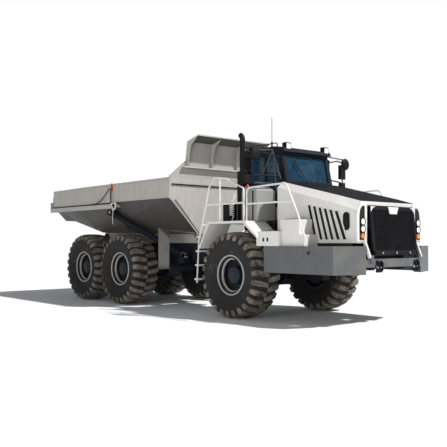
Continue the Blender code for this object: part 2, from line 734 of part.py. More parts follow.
def hood():
    # station, half width, top half width, low edge, shoulder height, top height
    stations = [
        (HOOD_REAR, HOOD_HALF, 0.94, HOOD_LOW, 2.80, 2.93),
        (HOOD_FRONT - 0.45, HOOD_HALF, 0.92, HOOD_LOW, 2.40, 2.55),
        (HOOD_FRONT, HOOD_HALF - 0.05, 0.88, HOOD_LOW, 2.26, 2.43),
    ]
    shell = loft(channel(stations, HOOD_WALL))
    face = [(-1.04, HOOD_LOW), (1.04, HOOD_LOW), (1.04, 2.25), (0.87, 2.42), (-0.87, 2.42), (-1.04, 2.25)]
    nose = plate(face, "X", HOOD_FRONT - 0.05, HOOD_FRONT + 0.01)
    lower = GRILLE_HALF + 0.02
    opening = block((HOOD_FRONT - 0.3, -lower, HOOD_LOW - 0.1), (HOOD_FRONT + 0.2, lower, 2.36))
    made = part("hood", "white_paint", [shell, nose], [opening])
    for sign in SIDES.values():
        start, end = sign * (0.82 + GAP), sign * 0.86
        low, high = sorted((start, end))
        outline = [(NOSE_HINGE - 0.03, NOSE_HINGE_Z), (NOSE_HINGE + 0.03, NOSE_HINGE_Z)]
        outline += [(HOOD_FRONT + 0.02, 1.78), (HOOD_FRONT - 0.04, 1.78)]
        combine(made, plate(outline, "Y", low, high), "UNION")
        combine(made, bore((NOSE_HINGE, NOSE_HINGE_Z), NOSE_PIN, low, high, 16), "UNION")
    pivot_at(made, (NOSE_HINGE, 0.0, NOSE_HINGE_Z))


def grille():
    lean = 0.09
    top = GRILLE_TOP - 0.03
    thick = 0.045
    foot = NOSE_HINGE_Z
    outline = [(NOSE_HINGE - thick / 2, foot), (NOSE_HINGE + thick / 2, foot)]
    outline += [(NOSE_HINGE + thick / 2 - lean, top), (NOSE_HINGE - thick / 2 - lean, top)]
    panel = plate(outline, "Y", -GRILLE_HALF, GRILLE_HALF)
    cuts = []
    count = 5
    edge = 0.07
    pitch = (2 * GRILLE_HALF - edge) / count
    for index in range(count):
        start = -GRILLE_HALF + edge + index * pitch
        low = (NOSE_HINGE - 0.3, start, foot + 0.16)
        cuts.append(block(low, (NOSE_HINGE + 0.2, start + pitch - edge, top - 0.10)))
    made = part("grille", "black_steel", [panel], cuts)
    combine(made, bore((NOSE_HINGE, foot), NOSE_PIN, -GRILLE_HALF - 0.02, GRILLE_HALF + 0.02, 16), "UNION")
    pivot_at(made, (NOSE_HINGE, 0.0, foot))


# ---------------------------------------------------------------- hitch
def yoke():
    pieces = [rod((HITCH, 0, EAR_LOW + GAP), (HITCH, 0, EAR_HIGH - GAP), 0.15, 24)]
    pieces.append(rod((HITCH, 0, TRUNNION_Z), (TRUNNION_END, 0, TRUNNION_Z), TRUNNION_RADIUS, 28))
    thrust_face = (COLLAR_FRONT + GAP, 0, TRUNNION_Z)
    pieces.append(rod((COLLAR_FRONT + THRUST_THICK, 0, TRUNNION_Z), thrust_face, THRUST_RADIUS, 32))
    for low in (STEER_Z - STEER_EYE - 0.01 - 0.03, STEER_Z + STEER_EYE + 0.01):
        pieces.append(plate(fork_outline(), "Z", low, low + 0.03))
    made = part("articulation_yoke", "frame_paint", pieces)
    pivot_at(made, (HITCH, 0, TRUNNION_Z))


def fork_outline():
    """Plan of the steering arms on the yoke."""
    left = arc((HITCH, STEER_ARM), 0.08, 0, 180, 8)
    right = arc((HITCH, -STEER_ARM), 0.08, 180, 360, 8)
    return left + right


def steering_cylinders():
    for side, sign in SIDES.items():
        y = sign * STEER_ARM
        pin_x = HITCH + STEER_BACK
        mouth = HITCH + STEER_MOUTH
        barrel = rod((pin_x, y, STEER_Z), (mouth, y, STEER_Z), STEER_BARREL, 12)
        eye_z = (STEER_Z - STEER_BARREL - 0.01, STEER_Z + STEER_BARREL + 0.01)
        eye = rod((pin_x, y, eye_z[0]), (pin_x, y, eye_z[1]), 0.065, 16)
        hole = rod((pin_x, y, eye_z[0] - 0.1), (pin_x, y, eye_z[1] + 0.1), STEER_PIN + GAP, 16)
        start = (pin_x - STEER_BORE_END, y, STEER_Z)
        inside = rod((mouth - 0.1, y, STEER_Z), start, STEER_ROD + 2 * GAP, 10)
        made = part(f"steer_barrel_{side}", "black_steel", [barrel, eye], [hole, inside])
        pivot_at(made, (pin_x, y, STEER_Z))
        shaft = rod((HITCH, y, STEER_Z), (pin_x - STEER_SHAFT_END, y, STEER_Z), STEER_ROD, 10)
        end = rod((HITCH, y, STEER_Z - STEER_EYE), (HITCH, y, STEER_Z + STEER_EYE), 0.055, 12)
        made = part(f"steer_rod_{side}", "chrome", [shaft, end])
        pivot_at(made, (HITCH, y, STEER_Z))


# ---------------------------------------------------------------- rear frame
def rear_chassis():
    low, high = REAR_LOW, REAR_HIGH
    pieces = [block((REAR_FRONT - 0.15, -REAR_OUT, TRUNNION_Z - 0.36), (REAR_FRONT, REAR_OUT, high))]
    pieces.append(rod((COLLAR_FRONT, 0, TRUNNION_Z), (REAR_FRONT - 0.05, 0, TRUNNION_Z), COLLAR_RADIUS, 28))
    socket = rod((COLLAR_FRONT + 0.1, 0, TRUNNION_Z), (REAR_FRONT + 0.02, 0, TRUNNION_Z),
                 clear_of(TRUNNION_RADIUS, 28), 28)
    for sign in SIDES.values():
        pieces.append(block((REAR_END, sign * REAR_IN, low), (REAR_FRONT - 0.05, sign * REAR_OUT, high)))
    for station in (-2.92, -4.30, -5.52, -7.18):
        wide = REAR_IN + 0.02
        pieces.append(block((station, -wide, low + 0.03), (station + 0.14, wide, high - 0.05)))
    centre = (AXLES["middle"] + AXLES["rear"]) / 2
    beam_z = HUB_Z + AXLE_TUBE + BEAM_HIGH / 2
    wide = BEAM_IN + 0.10
    pieces.append(rod((centre, -wide, beam_z), (centre, wide, beam_z), 0.07, 16))
    for sign in SIDES.values():
        ears = ((REAR_IN - 0.05, REAR_IN - 0.01), (REAR_OUT + 0.01, REAR_OUT + 0.05))
        for inner, outer in ears:
            outline = [(HINGE + 0.22, high - 0.10), *arc((HINGE, HINGE_Z), 0.10, 30, 150, 4)]
            outline += [(HINGE - 0.20, high - 0.10)]
            start, end = sorted((sign * inner, sign * outer))
            pieces.append(plate(outline, "Y", start, end))
            side_low, side_high = sorted((sign * (inner - 0.012), sign * (outer + 0.012)))
            pieces.append(block((HINGE - 0.16, side_low, high - 0.20), (HINGE + 0.16, side_high, high - 0.08)))
        start, end = sorted((sign * (REAR_IN - 0.06), sign * (REAR_OUT + 0.06)))
        pieces.append(bore((HINGE, HINGE_Z), HINGE_PIN, start, end))
        foot_x, foot_y, foot_z = HOIST_FOOT
        start, end = sorted((sign * (REAR_OUT - 0.02), sign * (foot_y + 0.15)))
        pieces.append(block((foot_x - 0.08, start, low), (foot_x + 0.08, end, foot_z - 0.17)))
        for place in (foot_y - 0.12, foot_y + 0.12):
            start, end = sorted((sign * (place - 0.012), sign * (place + 0.012)))
            outline = [(foot_x - 0.08, foot_z - 0.20), (foot_x + 0.08, foot_z - 0.20)]
            outline += arc((foot_x, foot_z), 0.07, 0, 180, 4)
            pieces.append(plate(outline, "Y", start, end))
    return part("rear_chassis", "frame_paint", pieces, [socket])


def balance_beams():
    centre = (AXLES["middle"] + AXLES["rear"]) / 2
    low = HUB_Z + AXLE_TUBE + GAP
    high = low + BEAM_HIGH
    beam_z = HUB_Z + AXLE_TUBE + BEAM_HIGH / 2
    for side, sign in SIDES.items():
        start, end = sorted((sign * BEAM_IN, sign * BEAM_OUT))
        reach = BOGIE / 2 + 0.14
        outline = [(centre - reach, low), (centre + reach, low), (centre + reach, low + 0.10)]
        outline += [(centre + 0.2, high), (centre - 0.2, high), (centre - reach, low + 0.10)]
        hole = bore((centre, beam_z), 0.07 + GAP, start - 0.1, end + 0.1)
        part(f"balance_beam_{side}", "frame_paint", [plate(outline, "Y", start, end)], [hole])


def mudflaps():
    for side, sign in SIDES.items():
        start = sign * (REAR_OUT + GAP)
        root = block((FLAP_ROOT - 0.04, start, 1.50), (FLAP_ROOT + 0.04, sign * 0.56, 1.60))
        path = [(FLAP_ROOT, 0.54, 1.55), (FLAP_ROOT, 0.84, 1.86), (FLAP, 1.25, 1.945), (FLAP, 1.66, 1.96)]
        arm = tube([(x, sign * y, z) for x, y, z in path], 0.028)
        flap = block((FLAP - 0.012, sign * 1.33, 0.98), (FLAP + 0.012, sign * 1.65, 1.97))
        part(f"mudflap_{side}", "rubber", [flap, arm, root])


# ---------------------------------------------------------------- dump body
def wall_x(height):
    """Front face of the body at this height."""
    return BODY_FRONT - (TOP_Z - height) * LEAN


def body_ring(x, floor_half, floor, side, top, leaning):
    half, rail, wall = BODY_HALF, SIDE_RAIL, BODY_WALL
    outer = [(half, top), (half, side), (floor_half, floor)]
    inner = [(floor_half - 0.02, floor + wall), (half - rail, side + 0.08), (half - rail, top)]
    right = outer + [(-y, z) for y, z in reversed(outer)]
    left = [(-y, z) for y, z in reversed(inner)] + inner
    return [((wall_x(z) - 0.02 if leaning else x), y, z) for y, z in right + left]


def dump_body():
    # station, floor half width, floor height, side rail's low edge, top edge
    stations = [
        (BODY_FRONT, 0.70, FLOOR_Z, SIDE_Z, TOP_Z),
        (-6.42, 1.00, FLOOR_Z + 0.08, SIDE_Z, TOP_Z),
        (-7.30, 1.15, FLOOR_Z + 0.33, SIDE_Z, TOP_Z - 0.01),
        (-7.75, 1.20, FLOOR_Z + 0.44, SIDE_Z, TOP_Z - 0.02),
        (-BODY_TAIL, 1.22, FLOOR_Z + 0.46, SIDE_Z, TOP_Z - 0.02),
    ]
    rings = [body_ring(*station, index == 0) for index, station in enumerate(stations)]
    shell = loft(rings)
    thick = 0.06
    face = [(wall_x(FLOOR_Z), FLOOR_Z), (wall_x(TOP_Z), TOP_Z), (wall_x(TOP_Z) - thick, TOP_Z)]
    face += [(wall_x(FLOOR_Z) - thick, FLOOR_Z)]
    wall = plate(face, "Y", -BODY_HALF - 0.001, BODY_HALF + 0.001)
    pieces = [shell]
    outline = [(BODY_HALF, TOP_Z + 0.01), (BODY_HALF, SIDE_Z), (0.70, FLOOR_Z - 0.005)]
    outline += [(-y, z) for y, z in reversed(outline)]
    trim = plate(outline, "X", wall_x(FLOOR_Z) - 0.2, wall_x(TOP_Z) + 0.1)
    combine(wall, trim, "INTERSECT")
    pieces.append(wall)
    for sign in SIDES.values():
        start, end = sorted((sign * (REAR_IN + 0.005), sign * (REAR_OUT - 0.005)))
        sole = REAR_HIGH + GAP
        outline = [(-2.42, sole), (-2.42, FLOOR_Z + 0.02), (-6.42, FLOOR_Z + 0.11), (-7.15, FLOOR_Z + 0.30)]
        outline += arc((HINGE, HINGE_Z), LUG_RADIUS, 150, 270, 8)
        outline += [(HINGE + 0.30, HINGE_Z - LUG_RADIUS), (HINGE + 0.36, sole)]
        pieces.append(plate(outline, "Y", start, end))
        pin_y = sorted((sign * (BODY_HALF - 0.16), sign * (GATE_ARM_OUT + 0.02)))
        pieces.append(bore((GATE_PIVOT, GATE_PIVOT_Z), GATE_PIN, *pin_y))
        collar_y = sorted((sign * (BODY_HALF - 0.16), sign * (GATE_ARM_IN - GAP)))
        pieces.append(bore((GATE_PIVOT, GATE_PIVOT_Z), GATE_COLLAR, *collar_y))
        x, y, z = HOIST_TOP
        inner = y - HOIST_BARREL - 0.05
        pieces.append(hoist_pin(sign, HOIST_PIN, -0.20, 0.05))
        pieces.append(hoist_pin(sign, HOIST_COLLAR, -0.20, -HOIST_EYE_IN - GAP))
        cheek = [(inner, z - 0.07), (inner, z + 0.12), (inner - 0.11, z + 0.01), (inner - 0.11, z - 0.07)]
        pieces.append(plate([(sign * across, height) for across, height in cheek], "X", x - 0.13, x + 0.08))
    reach = REAR_OUT + 0.1
    cuts = [bore((HINGE, HINGE_Z), clear_of(HINGE_PIN), -reach, reach)]
    made = part("dump_body", "body_paint", pieces, cuts)
    pivot_at(made, (HINGE, 0, HINGE_Z))


def spill_guard():
    low = TOP_Z + GAP
    half = [(BODY_HALF, low), (BODY_HALF, low + 0.03), (GUARD_HALF, GUARD_SHOULDER_Z), (GUARD_HALF, GUARD_TOP_Z)]
    outline = half + [(-y, z) for y, z in reversed(half)]
    foot = wall_x(TOP_Z)
    thick = 0.05
    panel = plate(outline, "X", foot - 0.6, foot + 0.8)
    slab_side = [(foot - thick, low - 0.01), (foot, low - 0.01)]
    rise = (GUARD_TOP_Z - low) * LEAN * 1.8
    slab_side += [(foot + rise, GUARD_TOP_Z + 0.01), (foot + rise - thick, GUARD_TOP_Z + 0.01)]
    slab = plate(slab_side, "Y", -BODY_HALF - 0.1, BODY_HALF + 0.1)
    combine(panel, slab, "INTERSECT")
    lip_rear = foot + rise
    lip = [(lip_rear - thick, GUARD_TOP_Z - 0.03), (lip_rear + GUARD_REACH, GUARD_LIP_Z - 0.03)]
    lip += [(lip_rear + GUARD_REACH, GUARD_LIP_Z), (lip_rear - thick, GUARD_TOP_Z)]
    pieces = [panel, plate(lip, "Y", -GUARD_HALF, GUARD_HALF)]
    for y in (-GUARD_HALF + 0.02, -0.42, 0.42, GUARD_HALF - 0.02):
        rib = [(foot - 0.02, 3.45), (foot + 0.10, 3.50), (lip_rear + 0.10, GUARD_TOP_Z - 0.12)]
        rib += [(lip_rear + GUARD_REACH - 0.03, GUARD_LIP_Z - 0.02), (lip_rear - 0.02, GUARD_TOP_Z - 0.02)]
        pieces.append(plate(rib, "Y", y - 0.018, y + 0.018))
    shelf_half = GUARD_HALF + 0.12
    shelf = (foot - 0.02, -shelf_half, 3.46)
    pieces.append(block(shelf, (foot + 0.14, shelf_half, 3.50)))
    part("spill_guard", "body_paint", pieces)


def tailgate():
    z = GATE_PIVOT_Z
    arm_half = 0.06
    plate_rear = -TAIL
    pieces = []
    inner = [(-1.16, 2.40), (1.16, 2.40), (1.60, 2.80), (1.60, 3.02), (-1.60, 3.02), (-1.60, 2.80)]
    pieces.append(plate(inner, "X", plate_rear, plate_rear + 0.06))
    ledge = GATE_ARM_OUT - 0.004
    pieces.append(block((plate_rear + 0.008, -ledge, z - arm_half + 0.01), (plate_rear + 0.052, ledge, 2.86)))
    cuts = []
    for sign in SIDES.values():
        start, end = sorted((sign * GATE_ARM_IN, sign * GATE_ARM_OUT))
        pieces.append(block((plate_rear + 0.02, start, z - arm_half), (GATE_PIVOT - 0.02, end, z + arm_half)))
        boss_start, boss_end = sorted((sign * (GATE_ARM_IN + 0.003), sign * (GATE_ARM_OUT + 0.008)))
        pieces.append(bore((GATE_PIVOT, z), 0.11, boss_start, boss_end, 20))
        cuts.append(bore((GATE_PIVOT, z), clear_of(GATE_PIN), start - 0.1, end + 0.1))
    made = part("tailgate", "body_paint", pieces, cuts)
    pivot_at(made, (GATE_PIVOT, 0, z))


def hoist_pin(sign, radius, inner, outer):
    """A round bar on the upper pin's axis, from inner to outer along it, away from the middle."""
    top = Vector((HOIST_TOP[0], sign * HOIST_TOP[1], HOIST_TOP[2]))
    axis = Vector((HOIST_AXIS[0], sign * HOIST_AXIS[1], HOIST_AXIS[2]))
    return rod(top + axis * inner, top + axis * outer, radius)


def hoists():
    """Barrels hang on the body, rods reach down to the frame."""
    for side, sign in SIDES.items():
        top = Vector((HOIST_TOP[0], sign * HOIST_TOP[1], HOIST_TOP[2]))
        foot = Vector((HOIST_FOOT[0], sign * HOIST_FOOT[1], HOIST_FOOT[2]))
        along = (foot - top).normalized()
        length = (foot - top).length
        barrel_end = length - 0.14
        barrel = rod(top + along * 0.085, top + along * barrel_end, HOIST_BARREL, 16)
        eye = hoist_pin(sign, HOIST_EYE, -HOIST_EYE_IN, HOIST_EYE_OUT)
        hole = hoist_pin(sign, clear_of(HOIST_PIN), -0.2, 0.2)
        inside = rod(top + along * 0.12, top + along * (barrel_end + 0.1), HOIST_ROD + 2 * GAP, 12)
        made = part(f"hoist_barrel_{side}", "frame_paint", [barrel, eye], [hole, inside])
        pivot_at(made, top)
        shaft = rod(top + along * 0.14, foot, HOIST_ROD, 12)
        end = bore((foot.x, foot.z), 0.07, foot.y - 0.05, foot.y + 0.05)
        made = part(f"hoist_rod_{side}", "chrome", [shaft, end])
        pivot_at(made, foot)


def build():
    for axle in AXLES:
        for side in SIDES:
            wheel(axle, side)
    front_axle()
    rear_axles()
    front_chassis()
    front_bumper()
    engine()
    deck_frame()
    for side in SIDES:
        fender(side)
        handrail(side)
    cab()
    cab_door()
    cab_inside()
    cab_outside()
    hood()
    grille()
    yoke()
    steering_cylinders()
    rear_chassis()
    balance_beams()
    mudflaps()
    dump_body()
    spill_guard()
    tailgate()
    hoists()
    bpy.context.view_layer.update()


build()
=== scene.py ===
"""Looks of the articulated dump truck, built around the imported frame. Metres, +X to the front."""

import json
import math
import random

import bmesh
import bpy
from mathutils import Matrix, Vector
from mathutils.bvhtree import BVHTree


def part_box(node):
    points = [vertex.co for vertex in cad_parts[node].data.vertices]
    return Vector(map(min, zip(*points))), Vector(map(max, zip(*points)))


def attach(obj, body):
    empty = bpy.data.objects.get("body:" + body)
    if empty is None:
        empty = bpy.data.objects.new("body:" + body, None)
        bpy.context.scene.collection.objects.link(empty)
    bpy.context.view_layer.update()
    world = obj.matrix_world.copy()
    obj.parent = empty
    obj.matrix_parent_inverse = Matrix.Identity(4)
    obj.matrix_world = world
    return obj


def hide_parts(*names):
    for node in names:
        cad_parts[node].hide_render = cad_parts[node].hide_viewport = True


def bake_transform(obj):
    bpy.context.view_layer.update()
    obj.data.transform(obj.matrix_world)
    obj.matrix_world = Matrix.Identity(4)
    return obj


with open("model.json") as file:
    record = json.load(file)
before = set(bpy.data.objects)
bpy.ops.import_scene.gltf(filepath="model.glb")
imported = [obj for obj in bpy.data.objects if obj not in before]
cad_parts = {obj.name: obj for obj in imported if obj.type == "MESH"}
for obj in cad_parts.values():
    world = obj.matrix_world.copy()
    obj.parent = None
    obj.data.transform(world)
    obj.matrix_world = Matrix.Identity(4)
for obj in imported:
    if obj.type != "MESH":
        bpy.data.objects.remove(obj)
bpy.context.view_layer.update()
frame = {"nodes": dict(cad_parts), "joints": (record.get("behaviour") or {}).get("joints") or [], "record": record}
NODES = frame["nodes"]
SIDES = {"right": -1, "left": 1}
JOINTS = {joint["name"]: joint for joint in frame["joints"]}

# The middle of the front wheels fixes the stations that the photo's view is given in.
FRONT_AXLE_X = JOINTS["front_right_wheel_spin"]["pos_m"][0]
HUB_Z = JOINTS["front_right_wheel_spin"]["pos_m"][2]


def ahead(distance):
    return FRONT_AXLE_X + distance


# ---------------------------------------------------------------- materials
DARK = 0.06  # paint darker than this is kept from shining


def shader_of(name):
    made = bpy.data.materials.new(name)
    made.use_nodes = True
    tree = made.node_tree
    return made, tree, tree.nodes["Principled BSDF"]


def noise(tree, coordinates, scale, detail=6.0, roughness=0.6):
    made = tree.nodes.new("ShaderNodeTexNoise")
    made.inputs["Scale"].default_value = scale
    made.inputs["Detail"].default_value = detail
    made.inputs["Roughness"].default_value = roughness
    tree.links.new(coordinates, made.inputs["Vector"])
    return made.outputs["Fac"]


def ramp(tree, value, low, high, low_value=0.0, high_value=1.0):
    made = tree.nodes.new("ShaderNodeMapRange")
    made.inputs["From Min"].default_value = low
    made.inputs["From Max"].default_value = high
    made.inputs["To Min"].default_value = low_value
    made.inputs["To Max"].default_value = high_value
    tree.links.new(value, made.inputs["Value"])
    return made.outputs["Result"]


def math_node(tree, operation, first, second):
    made = tree.nodes.new("ShaderNodeMath")
    made.operation = operation
    for index, value in enumerate((first, second)):
        if isinstance(value, (int, float)):
            made.inputs[index].default_value = value
        else:
            tree.links.new(value, made.inputs[index])
    return made.outputs[0]


def mix(tree, factor, first, second):
    made = tree.nodes.new("ShaderNodeMix")
    made.data_type = "RGBA"
    tree.links.new(factor, made.inputs["Factor"])
    for socket, value in ((made.inputs[6], first), (made.inputs[7], second)):
        if isinstance(value, tuple):
            socket.default_value = (*value, 1.0)
        else:
            tree.links.new(value, socket)
    return made.outputs[2]


def bump(tree, shader, height, strength, distance):
    made = tree.nodes.new("ShaderNodeBump")
    made.inputs["Strength"].default_value = strength
    made.inputs["Distance"].default_value = distance
    tree.links.new(height, made.inputs["Height"])
    tree.links.new(made.outputs["Normal"], shader.inputs["Normal"])


SOIL = (0.30, 0.26, 0.20)
SOOT = (0.12, 0.11, 0.10)
MUD = (0.12, 0.10, 0.085)
# Near-black for downward-facing faces: painted shade, with some grime.
UNDERSIDE_SHADE_AND_GRIME = (0.030, 0.028, 0.026)


def painted(name, colour, roughness, dust=0.3, dirt=SOIL, streaks=0.25, metallic=0.0, under=0.0):
    """Paint with blotches, streaks that run down it, dust that gathers low, and painted shade with grime on its
    downward-facing faces.
    """
    made, tree, shader = shader_of(name)
    place = tree.nodes.new("ShaderNodeTexCoord").outputs["Object"]
    blotch = noise(tree, place, 2.3)
    fine = noise(tree, place, 38.0, 4.0)
    stretch = tree.nodes.new("ShaderNodeMapping")
    stretch.inputs["Scale"].default_value = (9.0, 9.0, 0.8)
    tree.links.new(place, stretch.inputs["Vector"])
    run = noise(tree, stretch.outputs["Vector"], 3.0)
    split = tree.nodes.new("ShaderNodeSeparateXYZ")
    tree.links.new(place, split.inputs["Vector"])
    low = ramp(tree, split.outputs["Z"], 0.4, 2.6, 1.0, 0.25)
    patch = math_node(tree, "MULTIPLY", ramp(tree, blotch, 0.45, 0.75), low)
    speck = math_node(tree, "MULTIPLY", ramp(tree, fine, 0.5, 0.8), patch)
    amount = math_node(tree, "MULTIPLY", math_node(tree, "ADD", patch, speck), dust)
    shade = tuple(part * (1 - 0.35 * streaks) for part in colour)
    base = mix(tree, ramp(tree, run, 0.42, 0.72, 0.0, 0.9), colour, shade)
    dusty = mix(tree, math_node(tree, "MINIMUM", amount, 1.0), base, dirt)
    # Faces that point down are darkened towards near-black: painted shade, with some grime.
    if under:
        facing = tree.nodes.new("ShaderNodeSeparateXYZ")
        tree.links.new(tree.nodes.new("ShaderNodeNewGeometry").outputs["Normal"], facing.inputs["Vector"])
        below = ramp(tree, facing.outputs["Z"], -0.15, -0.5, 0.0, under)
        dusty = mix(tree, below, dusty, UNDERSIDE_SHADE_AND_GRIME)
    tree.links.new(dusty, shader.inputs["Base Color"])
    tree.links.new(ramp(tree, blotch, 0.3, 0.8, roughness * 0.85, min(1.0, roughness * 1.35)),
                   shader.inputs["Roughness"])
    shader.inputs["Metallic"].default_value = metallic
    if max(colour) < DARK:
        shader.inputs["Specular IOR Level"].default_value = 0.15
    bump(tree, shader, fine, 0.12, 0.004)
    return made


def rubber(name, mud):
    """Tyre rubber with dried mud in its hollows."""
    made, tree, shader = shader_of(name)
    place = tree.nodes.new("ShaderNodeTexCoord").outputs["Object"]
    blotch = noise(tree, place, 5.0, 8.0, 0.7)
    fine = noise(tree, place, 60.0, 4.0)
    coarse_share = math_node(tree, "MULTIPLY", blotch, 0.75)
    both = math_node(tree, "ADD", coarse_share, math_node(tree, "MULTIPLY", fine, 0.25))
    cover = ramp(tree, both, 0.60 - mud * 0.3, 0.72 - mud * 0.2)
    mud_shade = mix(tree, fine, (0.33, 0.28, 0.23), MUD)
    colour = mix(tree, cover, (0.016, 0.015, 0.015), mud_shade)
    tree.links.new(colour, shader.inputs["Base Color"])
    shader.inputs["Roughness"].default_value = 0.85
    bump(tree, shader, fine, 0.35, 0.01)
    return made


def glass(name, colour):
    made, tree, shader = shader_of(name)
    place = tree.nodes.new("ShaderNodeTexCoord").outputs["Object"]
    # Lighter blue blotches are painted reflections on the tinted glass.
    painted_reflection = noise(tree, place, 4.0)
    tree.links.new(mix(tree, ramp(tree, painted_reflection, 0.3, 0.8, 0.0, 0.5), colour, (0.04, 0.12, 0.18)),
                   shader.inputs["Base Color"])
    shader.inputs["Roughness"].default_value = 0.06
    shader.inputs["Alpha"].default_value = 0.62
    return made


def lens(name, colour, glow):
    made, tree, shader = shader_of(name)
    place = tree.nodes.new("ShaderNodeTexCoord").outputs["Object"]
    lines = tree.nodes.new("ShaderNodeTexWave")
    lines.inputs["Scale"].default_value = 60.0
    tree.links.new(place, lines.inputs["Vector"])
    dim = tuple(part * 0.8 for part in colour)
    tree.links.new(mix(tree, lines.outputs["Fac"], colour, dim), shader.inputs["Base Color"])
    shader.inputs["Roughness"].default_value = 0.15
    shader.inputs["Emission Color"].default_value = (*colour, 1.0)
    shader.inputs["Emission Strength"].default_value = glow
    return made


def bright_metal(name, colour, roughness):
    made, tree, shader = shader_of(name)
    place = tree.nodes.new("ShaderNodeTexCoord").outputs["Object"]
    scratch = noise(tree, place, 90.0, 3.0)
    dim = tuple(part * 0.8 for part in colour)
    tree.links.new(mix(tree, scratch, colour, dim), shader.inputs["Base Color"])
    shader.inputs["Metallic"].default_value = 1.0
    tree.links.new(ramp(tree, scratch, 0.3, 0.7, roughness, roughness * 2), shader.inputs["Roughness"])
    return made


def fabric(name, colour):
    made, tree, shader = shader_of(name)
    place = tree.nodes.new("ShaderNodeTexCoord").outputs["Object"]
    weave = tree.nodes.new("ShaderNodeTexBrick")
    weave.inputs["Scale"].default_value = 160.0
    tree.links.new(place, weave.inputs["Vector"])
    light = tuple(min(1.0, part * 1.6) for part in colour)
    tree.links.new(mix(tree, noise(tree, place, 30.0), colour, light), shader.inputs["Base Color"])
    shader.inputs["Roughness"].default_value = 0.9
    shader.inputs["Sheen Weight"].default_value = 0.3
    bump(tree, shader, weave.outputs["Fac"], 0.4, 0.001)
    return made


WHITE = painted("white_paint", (0.72, 0.71, 0.68), 0.38, 0.25)
# The body's downward-facing faces get strong painted shade with grime.
BODY = painted("body_paint", (0.47, 0.45, 0.41), 0.5, 0.5, streaks=0.6, under=0.93)
GREY = painted("grey_paint", (0.105, 0.108, 0.112), 0.42, 0.3)
FRAME = painted("frame_paint", (0.010, 0.014, 0.021), 0.6, 0.12, dirt=SOOT)
BLACK = painted("black_steel", (0.008, 0.008, 0.010), 0.55, 0.1, dirt=SOOT)
RIM = painted("rim_paint", (0.50, 0.49, 0.47), 0.42, 0.2)
DISC = painted("rim_disc_paint", (0.020, 0.020, 0.022), 0.5, 0.25, dirt=MUD)
HUB = painted("hub_paint", (0.025, 0.035, 0.045), 0.45, 0.2, dirt=SOOT)
IRON = painted("engine_iron", (0.10, 0.10, 0.105), 0.6, 0.3, metallic=0.3)
FLAP = painted("mudflap_rubber", (0.085, 0.080, 0.075), 0.85, 0.5, dirt=(0.20, 0.18, 0.15))
TANK = painted("tank_paint", (0.30, 0.30, 0.29), 0.5, 0.3)
ORANGE = painted("orange_paint", (0.55, 0.10, 0.02), 0.45, 0.3)
RED = painted("red_paint", (0.45, 0.02, 0.02), 0.4, 0.1)
TREAD = rubber("tyre_tread", 0.75)
WALL = rubber("tyre_wall", 0.05)
GLASS = glass("tinted_glass", (0.006, 0.040, 0.085))
TUBE = painted("tube_paint", (0.09, 0.095, 0.10), 0.35, 0.1)
# Painted light: a faint light-cyan glow that stands for the bright patch seen behind the windscreen.
WINDSCREEN_GLOW = lens("display_glass", (0.16, 0.42, 0.50), 0.25)
CHROME = bright_metal("chrome", (0.75, 0.75, 0.76), 0.12)
SEAT = fabric("seat_fabric", (0.045, 0.045, 0.05))
LAMP = lens("lamp_lens", (0.85, 0.87, 0.88), 0.15)
AMBER = lens("amber_lens", (0.85, 0.22, 0.02), 0.15)
# Near-black painted shade for the hood's slots, the bumper's holes and the space behind the grille mesh; the
# gate's pin caps use it too.
MESH_BACK = painted("mesh_shadow", (0.012, 0.012, 0.013), 0.8, 0.05)

SLOT_FINISH = {
    "white_paint": WHITE, "body_paint": BODY, "grey_paint": GREY, "frame_paint": FRAME,
    "black_steel": BLACK, "tyre": WALL, "rim_paint": DISC, "glass": GLASS, "chrome": CHROME,
    "seat_fabric": SEAT, "engine_iron": IRON, "mudflap_rubber": FLAP,
}


def finish_cad_nodes():
    for row in frame["record"]["subparts"]:
        node = NODES[row["node"]]
        node.data.materials.clear()
        node.data.materials.append(SLOT_FINISH[row["material_slot"]])


